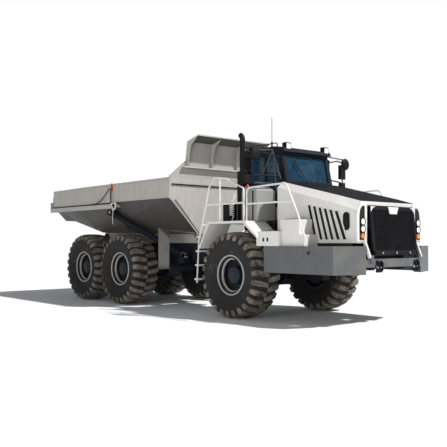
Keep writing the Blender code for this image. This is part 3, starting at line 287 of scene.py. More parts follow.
# ---------------------------------------------------------------- mesh tools
class Shape:
    """Gathers simple solids into one mesh, which becomes one piece."""

    def __init__(self):
        self.mesh = bmesh.new()

    def box(self, low, high):
        low, high = Vector(low), Vector(high)
        made = bmesh.ops.create_cube(self.mesh, size=1.0)["verts"]
        bmesh.ops.scale(self.mesh, vec=high - low, verts=made)
        bmesh.ops.translate(self.mesh, vec=(low + high) / 2, verts=made)

    def bar(self, start, end, radius, sides=12, tip=None):
        start, end = Vector(start), Vector(end)
        turn = (end - start).to_track_quat("Z", "Y").to_matrix().to_4x4()
        tip = radius if tip is None else tip
        bmesh.ops.create_cone(
            self.mesh, cap_ends=True, segments=sides, radius1=radius, radius2=tip,
            depth=(end - start).length, matrix=Matrix.Translation((start + end) / 2) @ turn,
        )

    def slab(self, outline, across, low, high):
        """An outline given in the plane across the named axis, from low to high along it."""
        def place(first, second, along):
            return (along, first, second) if across == "X" else (first, along, second)
        self.skin([[self.mesh.verts.new(place(a, b, along)) for a, b in outline] for along in (low, high)])

    def ring(self, middle, profile, steps=48, axis="Y"):
        """Turned about the named axis; profile points are (radius, distance along the axis)."""
        def place(radius, out, angle):
            first, second = radius * math.cos(angle), radius * math.sin(angle)
            shift = (first, out, second) if axis == "Y" else (out, first, second)
            return [start + part for start, part in zip(middle, shift)]
        angles = [2 * math.pi * step / steps for step in range(steps)]
        rows = [[self.mesh.verts.new(place(r, out, angle)) for r, out in profile] for angle in angles]
        self.skin(rows, closed=True)

    def skin(self, rows, closed=False):
        """Faces between rows of points, in a closed round or with the first and last row as ends."""
        faces = [] if closed else [self.mesh.faces.new(rows[0]), self.mesh.faces.new(rows[-1])]
        pairs = list(zip(rows, rows[1:]))
        if closed:
            pairs.append((rows[-1], rows[0]))
        for row, following in pairs:
            for index in range(len(row)):
                after = (index + 1) % len(row)
                corners = (row[index], row[after], following[after], following[index])
                faces.append(self.mesh.faces.new(corners))
        bmesh.ops.recalc_face_normals(self.mesh, faces=faces)

    def piece(self, name, body, slot, finish, bevel=0.0, smooth=True):
        data = bpy.data.meshes.new(name)
        self.mesh.to_mesh(data)
        self.mesh.free()
        made = bpy.data.objects.new(name, data)
        bpy.context.scene.collection.objects.link(made)
        if bevel:
            edge = made.modifiers.new("edges", "BEVEL")
            edge.width = bevel
            edge.segments = 2
            edge.limit_method = "ANGLE"
        if smooth:
            data.shade_smooth()
            data.set_sharp_from_angle(angle=math.radians(32))
        data.materials.append(finish)
        if body:
            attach(made, body)
        return made


def tube(name, points, radius, body, finish):
    """A round bar or line through the points."""
    data = bpy.data.curves.new(name, "CURVE")
    data.dimensions = "3D"
    spline = data.splines.new("POLY")
    spline.points.add(len(points) - 1)
    for point, place in zip(spline.points, points):
        point.co = (*place, 1.0)
    data.bevel_depth = radius
    data.bevel_resolution = 3
    data.use_fill_caps = True
    made = bpy.data.objects.new(name, data)
    bpy.context.scene.collection.objects.link(made)
    data.materials.append(finish)
    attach(made, body)


def span(sign, inner, outer):
    """The low and high y of something between two distances from the middle, on the sign's side."""
    return sorted((sign * inner, sign * outer))


# ---------------------------------------------------------------- wheels
TYRE_R = HUB_Z
LUG_HEIGHT = 0.055
LUGS = 26
NUTS = 20
NUT_CIRCLE = 0.29
COVER_BOLTS = 12
COVER_CIRCLE = 0.14


def tyre_profile(half):
    """Right-hand half of the tyre's section, from tread to bead, as (radius, across)."""
    base = TYRE_R - LUG_HEIGHT
    side = [(base, 0.0), (base - 0.004, half * 0.45), (base - 0.020, half * 0.74), (base - 0.05, half * 0.90)]
    side += [(base - 0.11, half * 0.985), (base - 0.20, half * 1.0), (base - 0.29, half * 0.96)]
    side += [(base - 0.37, half * 0.84), (base - 0.42, half * 0.74), (base - 0.45, half * 0.70)]
    side += [(0.425, half * 0.70), (0.402, half * 0.66)]
    return side


def build_tyre(axle, side):
    name = f"{axle}_{side}"
    middle = JOINTS[f"{name}_wheel_spin"]["pos_m"]
    low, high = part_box(f"{name}_tyre")
    half = (high.y - low.y) / 2
    shape = Shape()
    one = tyre_profile(half)
    profile = one + [(r, -out) for r, out in reversed(one[1:])]
    shape.ring(middle, profile, 72)
    body = f"{name}_wheel"
    carcass = shape.piece(f"{name}_carcass", body, "tyre", WALL)
    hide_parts(f"{name}_tyre")
    lugs = Shape()
    draw = random.Random(name)
    for index in range(LUGS):
        for row, offset in ((-1, 0.0), (1, 0.5)):
            angle = 2 * math.pi * (index + offset) / LUGS
            add_lug(lugs, middle, angle, row, half, draw)
    lugs.piece(f"{name}_lugs", body, "tyre", TREAD, bevel=0.008)
    rings = Shape()
    for radius in (0.70, 0.56):
        for sign in (-1, 1):
            across = half * (0.985 if radius > 0.6 else 0.86)
            line = [(radius - 0.010, sign * (across - 0.015)), (radius - 0.004, sign * (across + 0.006)),
                    (radius + 0.004, sign * (across + 0.006)), (radius + 0.010, sign * (across - 0.015))]
            rings.ring(middle, line, 64)
    rings.piece(f"{name}_wall_rings", body, "tyre", WALL)


def add_lug(lugs, middle, angle, row, half, draw):
    """One deep tread block that wraps over the shoulder, slanted like a traction tyre's."""
    pitch = 2 * math.pi / LUGS
    deep = LUG_HEIGHT
    # across the tread, radius drop at that place, start and end of the block round the wheel
    stations = [
        (0.03, 0.000, -0.05, 0.36),
        (0.40, 0.002, 0.02, 0.50),
        (0.72, 0.016, 0.10, 0.64),
        (0.93, 0.050, 0.14, 0.66),
        (1.00, 0.150, 0.18, 0.60),
    ]
    grid = []
    for across, drop, start, end in stations:
        jitter = draw.uniform(-0.01, 0.01)
        loop = []
        for turn, lift in ((start, 1.0), (end, 1.0), (end + 0.05, 0.0), (start - 0.05, 0.0)):
            around = angle + (turn + jitter) * pitch
            reach = TYRE_R - drop - (0.0 if lift else deep + 0.012)
            out = row * half * across * (1.0 if lift or across < 0.95 else 0.96)
            if across < 0.05 and not lift:
                out = row * half * 0.02
            loop.append(lugs.mesh.verts.new((
                middle[0] + reach * math.cos(around), middle[1] + out, middle[2] + reach * math.sin(around))))
        grid.append(loop)
    lugs.skin(grid)


def build_rim(axle, side):
    """Lock rings, the hub's drum, its cover and the nuts round it."""
    name = f"{axle}_{side}"
    sign = SIDES[side]
    middle = JOINTS[f"{name}_wheel_spin"]["pos_m"]
    body = f"{name}_wheel"
    low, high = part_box(f"{name}_rim")
    face = (high.y - low.y) / 2
    shape = Shape()
    outer = [(0.432, face - 0.02), (0.440, face + 0.004), (0.432, face + 0.018), (0.416, face + 0.018),
             (0.408, face + 0.002), (0.412, face - 0.03)]
    shape.ring(middle, [(r, sign * out) for r, out in outer], 64)
    inner = [(0.372, face - 0.075), (0.368, face - 0.055), (0.345, face - 0.050), (0.338, face - 0.062),
             (0.340, face - 0.10), (0.372, face - 0.10)]
    shape.ring(middle, [(r, sign * out) for r, out in inner], 64)
    shape.piece(f"{name}_lock_rings", body, "rim_paint", RIM)
    nuts = Shape()
    for index in range(NUTS):
        angle = 2 * math.pi * index / NUTS
        x = middle[0] + NUT_CIRCLE * math.cos(angle)
        z = middle[2] + NUT_CIRCLE * math.sin(angle)
        nuts.bar((x, middle[1] + sign * 0.05, z), (x, middle[1] + sign * 0.085, z), 0.016, 6)
    nuts.piece(f"{name}_wheel_nuts", body, "rim_paint", HUB)
    drum = Shape()
    start = middle[1] + sign * 0.172
    drum.bar((middle[0], start, middle[2]), (middle[0], start + sign * 0.03, middle[2]), 0.185, 40, 0.165)
    drum.bar((middle[0], start, middle[2]), (middle[0], start + sign * 0.05, middle[2]), 0.10, 32, 0.09)
    for index in range(COVER_BOLTS):
        angle = 2 * math.pi * index / COVER_BOLTS
        x = middle[0] + COVER_CIRCLE * math.cos(angle)
        z = middle[2] + COVER_CIRCLE * math.sin(angle)
        drum.bar((x, start, z), (x, start + sign * 0.042, z), 0.011, 6)
    drum.piece(f"{name}_hub_cover", body, "rim_paint", HUB, bevel=0.003)


# ---------------------------------------------------------------- hood and nose
HOOD_REAR, HOOD_BEND, HOOD_NOSE = ahead(0.92), ahead(2.50), ahead(2.95)
HOOD_HALF = 1.10
HOOD_REAR_Z, HOOD_BEND_Z, HOOD_NOSE_Z = 2.93, 2.55, 2.43
LOUVRES = 6
LOUVRE_STEPS = 6
LOUVRE_WIDE = 0.078
FIN_WIDE = 0.03
LAMP_Y = 0.91


def hood_half(x):
    """Half width of the hood's side at a station."""
    if x < HOOD_BEND:
        return HOOD_HALF
    return HOOD_HALF - 0.05 * (x - HOOD_BEND) / (HOOD_NOSE - HOOD_BEND)


def hood_top(x):
    """Height of the hood's top at a station."""
    if x < HOOD_BEND:
        return HOOD_REAR_Z - (x - HOOD_REAR) / (HOOD_BEND - HOOD_REAR) * (HOOD_REAR_Z - HOOD_BEND_Z)
    return HOOD_BEND_Z - (x - HOOD_BEND) / (HOOD_NOSE - HOOD_BEND) * (HOOD_BEND_Z - HOOD_NOSE_Z)


def surface_of(node):
    """Finds how far out a node's side is at a place on it."""
    made = NODES[node]
    shape = bmesh.new()
    shape.from_mesh(made.data)
    shape.transform(made.matrix_world)
    tree = BVHTree.FromBMesh(shape)
    shape.free()

    def out(x, z, sign):
        hit = tree.ray_cast(Vector((x, sign * 3.0, z)), Vector((0, -sign, 0)))[0]
        return hit.y if hit else None
    return out


def laid_on(shape, out, outline, sign, sink, proud):
    """A panel that follows a side's surface at its corners."""
    inner, outer = [], []
    for x, z in outline:
        y = out(x, z, sign)
        inner.append(shape.mesh.verts.new((x, y - sign * sink, z)))
        outer.append(shape.mesh.verts.new((x, y + sign * proud, z)))
    shape.skin([inner, outer])


def build_louvres():
    """The slanted slots of the hood's sides, their fins and the oval opening ahead of them; slots and oval are
    near-black panels of painted shade.
    """
    slots = Shape()
    fins = Shape()
    out = surface_of("hood")
    for sign in SIDES.values():
        for index in range(LOUVRES):
            top = (ahead(1.78 + 0.14 * index), 2.39 - 0.028 * index)
            foot = (ahead(1.96 + 0.142 * index), 1.70)
            for step in range(LOUVRE_STEPS):
                x0, z0 = (top[i] + (foot[i] - top[i]) * step / LOUVRE_STEPS for i in (0, 1))
                x1, z1 = (top[i] + (foot[i] - top[i]) * (step + 1) / LOUVRE_STEPS for i in (0, 1))
                edge0, edge1 = x0 + LOUVRE_WIDE, x1 + LOUVRE_WIDE
                laid_on(slots, out, [(x0, z0), (edge0, z0), (edge1, z1), (x1, z1)], sign, 0.01, 0.003)
                fin = [(edge0, z0), (edge0 + FIN_WIDE, z0), (edge1 + FIN_WIDE, z1), (edge1, z1)]
                laid_on(fins, out, fin, sign, 0.01, 0.020)
        oval = []
        for step in range(30):
            turn = math.radians(step * 12)
            middle = 2.05 + (0.10 if math.sin(turn) > 0 else -0.10)
            oval.append((ahead(2.74) + 0.075 * math.cos(turn), middle + 0.075 * math.sin(turn)))
        start, end = span(sign, 1.04, hood_half(ahead(2.66)) + 0.003)
        slots.slab(oval, "Y", start, end)
    # Near-black panels: painted shade standing for the slot openings.
    slots.piece("hood_slots", "hood", "black_steel", MESH_BACK)
    fins.piece("hood_louvres", "hood", "white_paint", WHITE, bevel=0.003)


def build_hood_cover():
    """The dark panel on top of the hood, a little arched across."""
    cover = Shape()
    stations = [(ahead(0.94), 0.93), (ahead(1.60), 0.925), (ahead(2.50), 0.905), (ahead(2.93), 0.87)]
    rings = []
    for x, half in stations:
        z = hood_top(x)
        ring = [(-half, z - 0.012), (-half, z + 0.006), (-half * 0.5, z + 0.022), (0, z + 0.026),
                (half * 0.5, z + 0.022), (half, z + 0.006), (half, z - 0.012)]
        rings.append([cover.mesh.verts.new((x, y, height)) for y, height in ring])
    cover.skin(rings)
    cover.piece("hood_top_cover", "hood", "black_steel", BLACK, bevel=0.004)


def build_lamps():
    """Two head lamps and a turn lamp in each front corner of the hood."""
    pods = Shape()
    surround = Shape()
    bezels = Shape()
    lamps = Shape()
    ambers = Shape()
    front = ahead(2.96)
    for sign in SIDES.values():
        outline = [(0.745, 1.655), (1.055, 1.655), (1.06, 2.16), (1.03, 2.27), (0.95, 2.37), (0.86, 2.405),
                   (0.745, 2.41)]
        surround.slab([(sign * y, z) for y, z in outline], "X", front - 0.01, front + 0.022)
        outline = [(0.835, 1.69), (0.985, 1.69), (0.985, 2.16), (0.965, 2.26), (0.92, 2.325), (0.87, 2.345),
                   (0.835, 2.33)]
        pods.slab([(sign * y, z) for y, z in outline], "X", front + 0.01, front + 0.034)
        for height, radius in ((2.04, 0.058), (1.90, 0.058)):
            y = sign * LAMP_Y
            lamps.bar((front + 0.03, y, height), (front + 0.05, y, height), radius, 28)
            inner, outer = radius + 0.002, radius + 0.012
            bezel = [(inner, 0), (inner, 0.02), (outer, 0.02), (outer, 0)]
            bezels.ring((front + 0.036, y, height), bezel, 28, axis="X")
        ambers.bar((front + 0.03, sign * LAMP_Y, 1.765), (front + 0.05, sign * LAMP_Y, 1.765), 0.048, 24)
    surround.piece("lamp_surrounds", "hood", "white_paint", WHITE, bevel=0.012)
    bezels.piece("lamp_bezels", "hood", "black_steel", BLACK)
    pods.piece("lamp_pods", "hood", "grey_paint", DISC, bevel=0.006)
    lamps.piece("head_lamps", "hood", "glass", LAMP, bevel=0.004)
    ambers.piece("turn_lamps", "hood", "glass", AMBER, bevel=0.004)


GRILLE_HALF = 0.72
GRILLE_TOP = 2.34
GRILLE_LEAN = 0.09
MESH_ROWS, MESH_COLUMNS = 26, 34


def build_grille():
    """The radiator's guard: a leaning frame with a wire mesh, on the hinge at its foot."""
    bottom = JOINTS["grille_drop"]["pos_m"]
    half = GRILLE_HALF
    rise = GRILLE_TOP - bottom[2]

    def face_x(height):
        return bottom[0] - GRILLE_LEAN * (height - bottom[2]) / rise

    def leaning(low, high, back, fore):
        return [(face_x(low) + back, low), (face_x(low) + fore, low), (face_x(high) + fore, high),
                (face_x(high) + back, high)]

    frame_piece = Shape()
    thick, bar_wide = 0.022, 0.06
    for start, end in ((bottom[2] + 0.02, bottom[2] + 0.12), (2.27, GRILLE_TOP)):
        frame_piece.slab(leaning(start, end, -thick, thick), "Y", -half, half)
    for y in (-half, half - bar_wide):
        frame_piece.slab(leaning(1.40, 2.33, -thick, thick), "Y", y, y + bar_wide)
    outer = frame_piece.piece("grille_frame", "grille", "black_steel", BLACK, bevel=0.005)
    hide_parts("grille")
    bars = Shape()
    for index in range(MESH_COLUMNS):
        y = -half + 0.07 + (2 * half - 0.14) * index / (MESH_COLUMNS - 1)
        bars.bar((face_x(1.48), y, 1.48), (face_x(2.28), y, 2.28), 0.006, 6)
    for index in range(MESH_ROWS):
        z = 1.49 + (2.27 - 1.49) * index / (MESH_ROWS - 1)
        bars.bar((face_x(z) + 0.004, -half + 0.05, z), (face_x(z) + 0.004, half - 0.05, z), 0.006, 6)
    bars.piece("grille_mesh", "grille", "black_steel", BLACK)
    # A near-black sheet behind the mesh: painted shade inside the grille.
    backing = Shape()
    backing.slab(leaning(1.46, 2.29, -0.016, -0.012), "Y", -half + 0.05, half - 0.05)
    backing.piece("grille_backing", "grille", "black_steel", MESH_BACK)
    trim = Shape()
    tab = [(-0.11, 2.20), (0.11, 2.20), (0.17, 2.337), (-0.17, 2.337)]
    trim.slab(tab, "X", face_x(2.30) + 0.016, face_x(2.30) + 0.034)
    for sign in SIDES.values():
        corner = [(0.715, 2.335), (0.56, 2.335), (0.64, 2.31), (0.69, 2.26), (0.715, 2.17)]
        trim.slab([(sign * y, z) for y, z in corner], "X", face_x(2.30) + 0.012, face_x(2.30) + 0.028)
    trim.piece("grille_tab", "grille", "white_paint", WHITE, bevel=0.004)
    bolts = Shape()
    for y in (-0.45, 0.0, 0.45):
        bolts.bar((face_x(1.44) + thick, y, 1.44), (face_x(1.44) + thick + 0.014, y, 1.44), 0.022, 16)
    bolts.piece("grille_bolts", "grille", "chrome", CHROME, bevel=0.002)


HOOK_Y = 0.60


def build_bumper():
    """Tow hooks with their pins, and the holes in the bumper's ends, which are near-black discs of painted shade.
    """
    hooks, pins = Shape(), Shape()
    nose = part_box("front_bumper")[1].x
    for sign in SIDES.values():
        for shift in (-0.05, 0.05):
            y = sign * HOOK_Y + shift
            outline = [(nose - 0.06, 1.07), (nose - 0.01, 1.07), (nose + 0.03, 1.13), (nose + 0.03, 1.26),
                       (nose - 0.06, 1.32)]
            hooks.slab(outline, "Y", y - 0.018, y + 0.018)
        pin_x, middle = nose + 0.002, sign * HOOK_Y
        pins.bar((pin_x, middle - 0.095, 1.17), (pin_x, middle + 0.095, 1.17), 0.018, 16)
        pins.bar((pin_x, middle - 0.105, 1.17), (pin_x, middle - 0.095, 1.17), 0.030, 16)
    hooks.piece("tow_hooks", "front_frame", "black_steel", BLACK, bevel=0.003)
    pins.piece("tow_pins", "front_frame", "chrome", CHROME, bevel=0.002)
    # Near-black discs: painted shade standing for the holes.
    holes = Shape()
    for sign in SIDES.values():
        y = sign * 1.581
        holes.bar((ahead(2.22), y - sign * 0.01, 1.44), (ahead(2.22), y + sign * 0.0015, 1.44), 0.028, 20)
    holes.piece("bumper_holes", "front_frame", "black_steel", MESH_BACK)


# ---------------------------------------------------------------- cab, decks
ROOF_Z = 3.75  # the roof itself, below its beacon pad


def build_cab():
    """Work lamps and rail on the roof, the wiper, a faintly glowing panel on the dash that is painted light for
    the bright patch behind the windscreen, and the side window's bar.
    """
    roof_low, roof_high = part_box("cab_roof")
    trim = Shape()
    for sign in SIDES.values():
        trim.box((roof_high.x - 0.13, sign * 0.62 - 0.085, ROOF_Z - 0.10),
                 (roof_high.x - 0.02, sign * 0.62 + 0.085, ROOF_Z + 0.07))
        trim.box((roof_low.x + 0.03, sign * 0.60 - 0.05, ROOF_Z - 0.05),
                 (roof_low.x + 0.12, sign * 0.60 + 0.05, ROOF_Z + 0.07))
    trim.piece("work_lamp_cases", "front_frame", "black_steel", BLACK, bevel=0.006)
    glow = Shape()
    for sign in SIDES.values():
        glow.box((roof_high.x - 0.024, sign * 0.62 - 0.06, ROOF_Z - 0.065),
                 (roof_high.x - 0.012, sign * 0.62 + 0.06, ROOF_Z + 0.045))
    glow.piece("work_lamps", "front_frame", "glass", LAMP)
    y = -0.80
    z = ROOF_Z + 0.06
    points = [(ahead(-0.30), y, ROOF_Z - 0.08), (ahead(-0.28), y, z), (ahead(0.60), y, z),
              (ahead(0.66), y, ROOF_Z - 0.08)]
    tube("roof_rail", points, 0.012, "front_frame", BLACK)
    wiper = Shape()
    wiper.bar((ahead(0.86), -0.10, 2.97), (ahead(0.775), -0.42, 3.40), 0.008, 8)
    wiper.bar((ahead(0.80), -0.52, 3.18), (ahead(0.775), -0.36, 3.50), 0.007, 8)
    wiper.piece("wiper", "front_frame", "black_steel", BLACK)
    # A faintly glowing light-cyan panel: painted light for the bright patch behind the windscreen.
    glow_panel = Shape()
    glow_panel.box((ahead(0.555), 0.12, 3.03), (ahead(0.575), 0.34, 3.25))
    glow_panel.bar((ahead(0.565), 0.23, 2.95), (ahead(0.565), 0.23, 3.04), 0.015, 12)
    glow_panel.piece("dash_display", "front_frame", "glass", WINDSCREEN_GLOW, bevel=0.004)
    post = Shape()
    post.box((ahead(0.16), -0.757, 2.44), (ahead(0.21), -0.735, 3.56))
    post.piece("side_window_bar", "front_frame", "frame_paint", FRAME, bevel=0.004)


def build_seat():
    """The operator's seat: padded cushion and back on a steel base."""
    low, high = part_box("operator_seat")
    parts = Shape()
    mid = (low.y + high.y) / 2
    parts.box((low.x + 0.04, low.y, low.z + 0.33), (high.x - 0.005, high.y, low.z + 0.455))
    seat = parts.piece("seat_cushion", "front_frame", "seat_fabric", SEAT)
    soften(seat, 0.03)
    back = Shape()
    outline = [(low.x + 0.055, low.z + 0.47), (low.x + 0.18, low.z + 0.47), (low.x + 0.11, high.z - 0.01),
               (low.x + 0.005, high.z - 0.01)]
    back.slab(outline, "Y", low.y + 0.02, high.y - 0.02)
    rest = back.piece("seat_back", "front_frame", "seat_fabric", SEAT)
    soften(rest, 0.03)
    base = Shape()
    base.box((low.x + 0.12, mid - 0.18, low.z), (high.x - 0.14, mid + 0.18, low.z + 0.30))
    base.piece("seat_base", "front_frame", "black_steel", BLACK, bevel=0.01)
    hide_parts("operator_seat")


def soften(piece, width):
    """Rounds a cushion's block and crowns its faces."""
    edge = piece.modifiers.new("round", "BEVEL")
    edge.width = width
    edge.segments = 3
    smooth = piece.modifiers.new("crown", "SUBSURF")
    smooth.levels = 2
    smooth.render_levels = 2
    piece.data.shade_smooth()


def build_tank():
    """The tank beside the cab with its cap and straps, and the panels below the cab's windows."""
    low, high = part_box("service_tank")
    shape = Shape()
    edge = 0.07
    outline = [(low.x, low.z), (high.x, low.z), (high.x, high.z - edge), (high.x - edge, high.z),
               (low.x + edge, high.z), (low.x, high.z - edge)]
    shape.slab(outline, "Y", low.y, high.y)
    tank = shape.piece("tank_shell", "front_frame", "grey_paint", TANK, bevel=0.015)
    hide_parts("service_tank")
    cap = Shape()
    middle = ((low.x + high.x) / 2, (low.y + high.y) / 2)
    cap.bar((*middle, high.z - 0.01), (*middle, high.z + 0.05), 0.06, 24)
    cap.bar((*middle, high.z + 0.05), (*middle, high.z + 0.065), 0.045, 24)
    for share in (0.25, 0.75):
        x = low.x + (high.x - low.x) * share
        cap.box((x - 0.02, low.y - 0.006, low.z + 0.01), (x + 0.02, low.y + 0.002, high.z - 0.08))
    cap.piece("tank_fittings", "front_frame", "black_steel", BLACK, bevel=0.003)
    panels = Shape()
    for sign in SIDES.values():
        start, end = span(sign, 0.748, 0.758)
        if sign < 0:
            panels.box((ahead(-0.42), start, 2.13), (ahead(0.60), end, 2.42))
            panels.box((ahead(0.64), start, 2.13), (ahead(0.84), end, 2.90))
        else:
            panels.box((ahead(0.50), start, 2.13), (ahead(0.84), end, 2.90))
    panels.piece("cab_lower_panels", "front_frame", "white_paint", TANK, bevel=0.004)


def build_mirror_frames():
    """Triangular tube frames that carry the mirrors, and the round mirrors on top of them."""
    for side, sign in SIDES.items():
        frames = Shape()
        top = (ahead(0.52), sign * 0.84, 3.66)
        rear, low, front = ((ahead(x), sign * 0.80, z) for x, z in ((0.05, 2.98), (0.60, 2.72), (0.72, 3.02)))
        for foot in (rear, low, front):
            frames.bar(foot, top, 0.013, 10)
        frames.bar(rear, low, 0.013, 10)
        frames.bar(top, (ahead(0.66), sign * 1.40, 3.60), 0.015, 10)
        frames.bar((ahead(0.60), sign * 0.80, 2.92), (ahead(0.66), sign * 1.50, 2.90), 0.013, 10)
        frames.piece(f"mirror_frame_{side}", "front_frame", "black_steel", TUBE)
        dish = Shape()
        x, y, z = ahead(0.64), sign * 1.46, 3.50
        cones = ((-0.012, 0.012, 0.135, 0.14), (0.012, 0.045, 0.14, 0.10), (0.045, 0.062, 0.10, 0.045))
        for start, end, radius, tip in cones:
            dish.bar((x + start, y, z), (x + end, y, z), radius, 32, tip)
        face = Shape()
        face.bar((x - 0.016, y, z), (x - 0.010, y, z), 0.125, 32)
        face.piece(f"round_mirror_face_{side}", "front_frame", "chrome", CHROME)
        dish.piece(f"round_mirror_{side}", "front_frame", "black_steel", BLACK, bevel=0.004)


def build_step_details():
    """Vents, lamps and treads on the boxes beside the hood."""
    for side, sign in SIDES.items():
        dark = Shape()
        start, end = span(sign, 1.595, 1.6025)
        # Two near-black rectangles: painted shade standing for the recessed vents.
        dark.box((ahead(0.98), start, 1.66), (ahead(1.03), end, 1.74))
        dark.box((ahead(1.10), start, 1.66), (ahead(1.15), end, 1.74))
        start, end = span(sign, 1.30, 1.58)
        dark.box((ahead(0.90), start, 1.871), (ahead(1.34), end, 1.876))
        start, end = span(sign, 1.16, 1.46)
        dark.box((ahead(1.46), start, 2.101), (ahead(1.86), end, 2.106))
        dark.piece(f"step_treads_{side}", "front_frame", "black_steel", BLACK, bevel=0.002)
        ridges = Shape()
        for index in range(9):
            x = ahead(0.93 + 0.048 * index)
            start, end = span(sign, 1.31, 1.57)
            ridges.box((x, start, 1.876), (x + 0.012, end, 1.884))
            x = ahead(1.48 + 0.043 * index)
            start, end = span(sign, 1.17, 1.45)
            ridges.box((x, start, 2.106), (x + 0.012, end, 2.114))
        ridges.piece(f"step_ridges_{side}", "front_frame", "grey_paint", GREY)
        reflector = Shape()
        start, end = span(sign, 1.098, 1.112)
        reflector.box((ahead(1.72), start, 1.68), (ahead(1.76), end, 1.80))
        reflector.piece(f"side_reflector_{side}", "hood", "glass", AMBER, bevel=0.003)


def build_machinery():
    """What shows between the rails on the right, and the extinguisher."""
    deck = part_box("deck_frame")[1].z
    bottle = Shape()
    bottle.bar((ahead(0.20), -1.30, deck + 0.52), (ahead(0.20), -1.30, deck + 0.76), 0.045, 24)
    bottle.bar((ahead(0.20), -1.30, deck + 0.76), (ahead(0.20), -1.30, deck + 0.80), 0.045, 24, 0.02)
    bottle.piece("extinguisher", "front_frame", "grey_paint", RED, bevel=0.004)
    rack = Shape()
    rack.bar((ahead(0.20), -1.245, deck + 0.001), (ahead(0.20), -1.245, deck + 0.76), 0.016, 12)
    rack.box((ahead(0.14), -1.35, deck + 0.49), (ahead(0.26), -1.24, deck + 0.52))
    rack.box((ahead(-0.62), -1.30, deck + 0.001), (ahead(-0.36), -1.10, deck + 0.42))
    rack.box((ahead(-0.10), -1.24, deck + 0.001), (ahead(0.06), -1.08, deck + 0.30))
    rack.piece("deck_machinery", "front_frame", "black_steel", BLACK, bevel=0.006)
    turns, steps = 7, 12
    coil = []
    for step in range(turns * steps + 1):
        angle = 2 * math.pi * step / steps
        coil.append((ahead(-0.20) + 0.05 * math.cos(angle), -1.40 + 0.05 * math.sin(angle),
                     deck + 0.12 + 0.05 * step / steps))
    coil.insert(0, (ahead(-0.20), -1.40, deck + 0.01))
    coil.append((ahead(-0.20), -1.30, deck + 0.62))
    tube("air_coil", coil, 0.010, "front_frame", WHITE)
    cleaner = Shape()
    for low, high, radius in ((0.10, 0.62, 0.12), (0.62, 0.70, 0.09), (0.002, 0.12, 0.10)):
        cleaner.bar((ahead(-0.12), -0.93, deck + low), (ahead(-0.12), -0.93, deck + high), radius, 28)
    cleaner.piece("air_cleaner", "front_frame", "black_steel", BLACK, bevel=0.006)


# ---------------------------------------------------------------- dump body
RAIL_FACE = 1.654  # just inside the gate's arms
GUIDE_X = ahead(-4.825)
GATE_PIN_X = ahead(-4.66)
GATE_PIN_Z = 2.61
BOSS_PROUD = {"right": 0.0, "left": 0.008}
CABLE_Y = 1.738  # clear of the gate's bosses
CHAIN_Y = 1.730  # clear of the gate's arms
CHAIN_LINKS = 13
CHAIN_SAG = 0.10


def build_body_trim():
    """The strip on the front wall, the edges of the side rails and the guides of the gate's chains."""
    wall_top = ahead(-2.18)
    strips = Shape()
    strips.box((wall_top - 0.012, -1.60, 3.035), (wall_top + 0.012, 1.60, 3.065))
    strips.piece("front_wall_strip", "dump_body", "black_steel", BLACK, bevel=0.002)
    ribs = Shape()
    for sign in SIDES.values():
        start, end = span(sign, 1.60, RAIL_FACE)
        ribs.box((ahead(-8.28), start, 2.715), (ahead(-2.22), end, 2.745))
        ribs.box((ahead(-8.28), start, 3.175), (ahead(-2.22), end, 3.205))
    ribs.piece("rail_edges", "dump_body", "body_paint", BODY, bevel=0.004)
    levers = Shape()
    for sign in SIDES.values():
        start, end = span(sign, 1.655, 1.69)
        levers.box((ahead(-4.86), start, 3.02), (ahead(-4.79), end, 3.20))
        levers.bar((GUIDE_X, start, 3.20), (GUIDE_X, end, 3.20), 0.035, 20)
    levers.piece("chain_guides", "dump_body", "body_paint", ORANGE, bevel=0.004)


def build_bosses():
    """The gate's pivot plates, the caps of their pins, and the cable and rope beside them."""
    for side, sign in SIDES.items():
        plates = Shape()
        start, end = span(sign, 1.712, 1.722)
        plates.slab([(ahead(-4.80), 2.70), (ahead(-4.52), 2.70), (ahead(-4.56), 2.52), (ahead(-4.70), 2.47)],
                    "Y", start, end)
        end += BOSS_PROUD[side]
        plates.bar((GATE_PIN_X, start, GATE_PIN_Z), (GATE_PIN_X, end, GATE_PIN_Z), 0.075, 28)
        plates.piece(f"gate_boss_{side}", "tailgate", "body_paint", WHITE, bevel=0.003)
        cap = Shape()
        cap.bar((GATE_PIN_X, sign * 1.720, GATE_PIN_Z), (GATE_PIN_X, sign * 1.728, GATE_PIN_Z), 0.042, 24)
        cap.piece(f"gate_pin_cap_{side}", "tailgate", "black_steel", MESH_BACK)
        hang = ((-4.66, 2.60), (-4.65, 2.44), (-4.67, 2.26), (-4.64, 2.12))
        cable = [(ahead(x), sign * CABLE_Y, z) for x, z in hang]
        tube(f"gate_cable_{side}", cable, 0.009, "dump_body", WHITE)
        line = [(ahead(-4.83), sign * 1.70, 3.08), (ahead(-4.84), sign * 1.69, 2.70),
                (ahead(-4.90), sign * 1.36, 2.30), (ahead(-4.92), sign * 1.00, 1.98)]
        tube(f"gate_rope_{side}", line, 0.016, "dump_body", BLACK)


def build_wall_flanges():
    """Two ribs on each edge of the body's sloping front wall, and one under each side of its tail."""
    for side, sign in SIDES.items():
        ribs = Shape()
        for shift in (0.0, 0.14):
            ribs.bar((ahead(-2.209), sign * (1.60 - shift), 2.69),
                     (ahead(-2.299), sign * (0.73 - shift * 0.6), 1.87), 0.012, 8)
        ribs.bar((ahead(-7.27), sign * 1.52, 2.68), (ahead(-6.42), sign * 1.02, 1.96), 0.022, 8)
        ribs.piece(f"wall_ribs_{side}", "dump_body", "body_paint", BODY)


def build_tail_lip():
    """The body's end flange: it narrows the slit to the gate, and stays out of the way of the rising gate."""
    shape = Shape()
    front = ahead(-8.29)
    shape.slab([(-1.17, 2.36), (1.17, 2.36), (1.17, 2.392), (-1.17, 2.392)], "X", ahead(-8.42), front)
    for sign in SIDES.values():
        flange = [(1.16, 2.36), (1.20, 2.36), (1.65, 2.77), (1.65, 3.02), (1.607, 3.02), (1.607, 2.792),
                  (1.16, 2.388)]
        shape.slab([(sign * y, z) for y, z in flange], "X", ahead(-8.342), front)
    shape.piece("tail_lip", "dump_body", "body_paint", BODY, bevel=0.003)


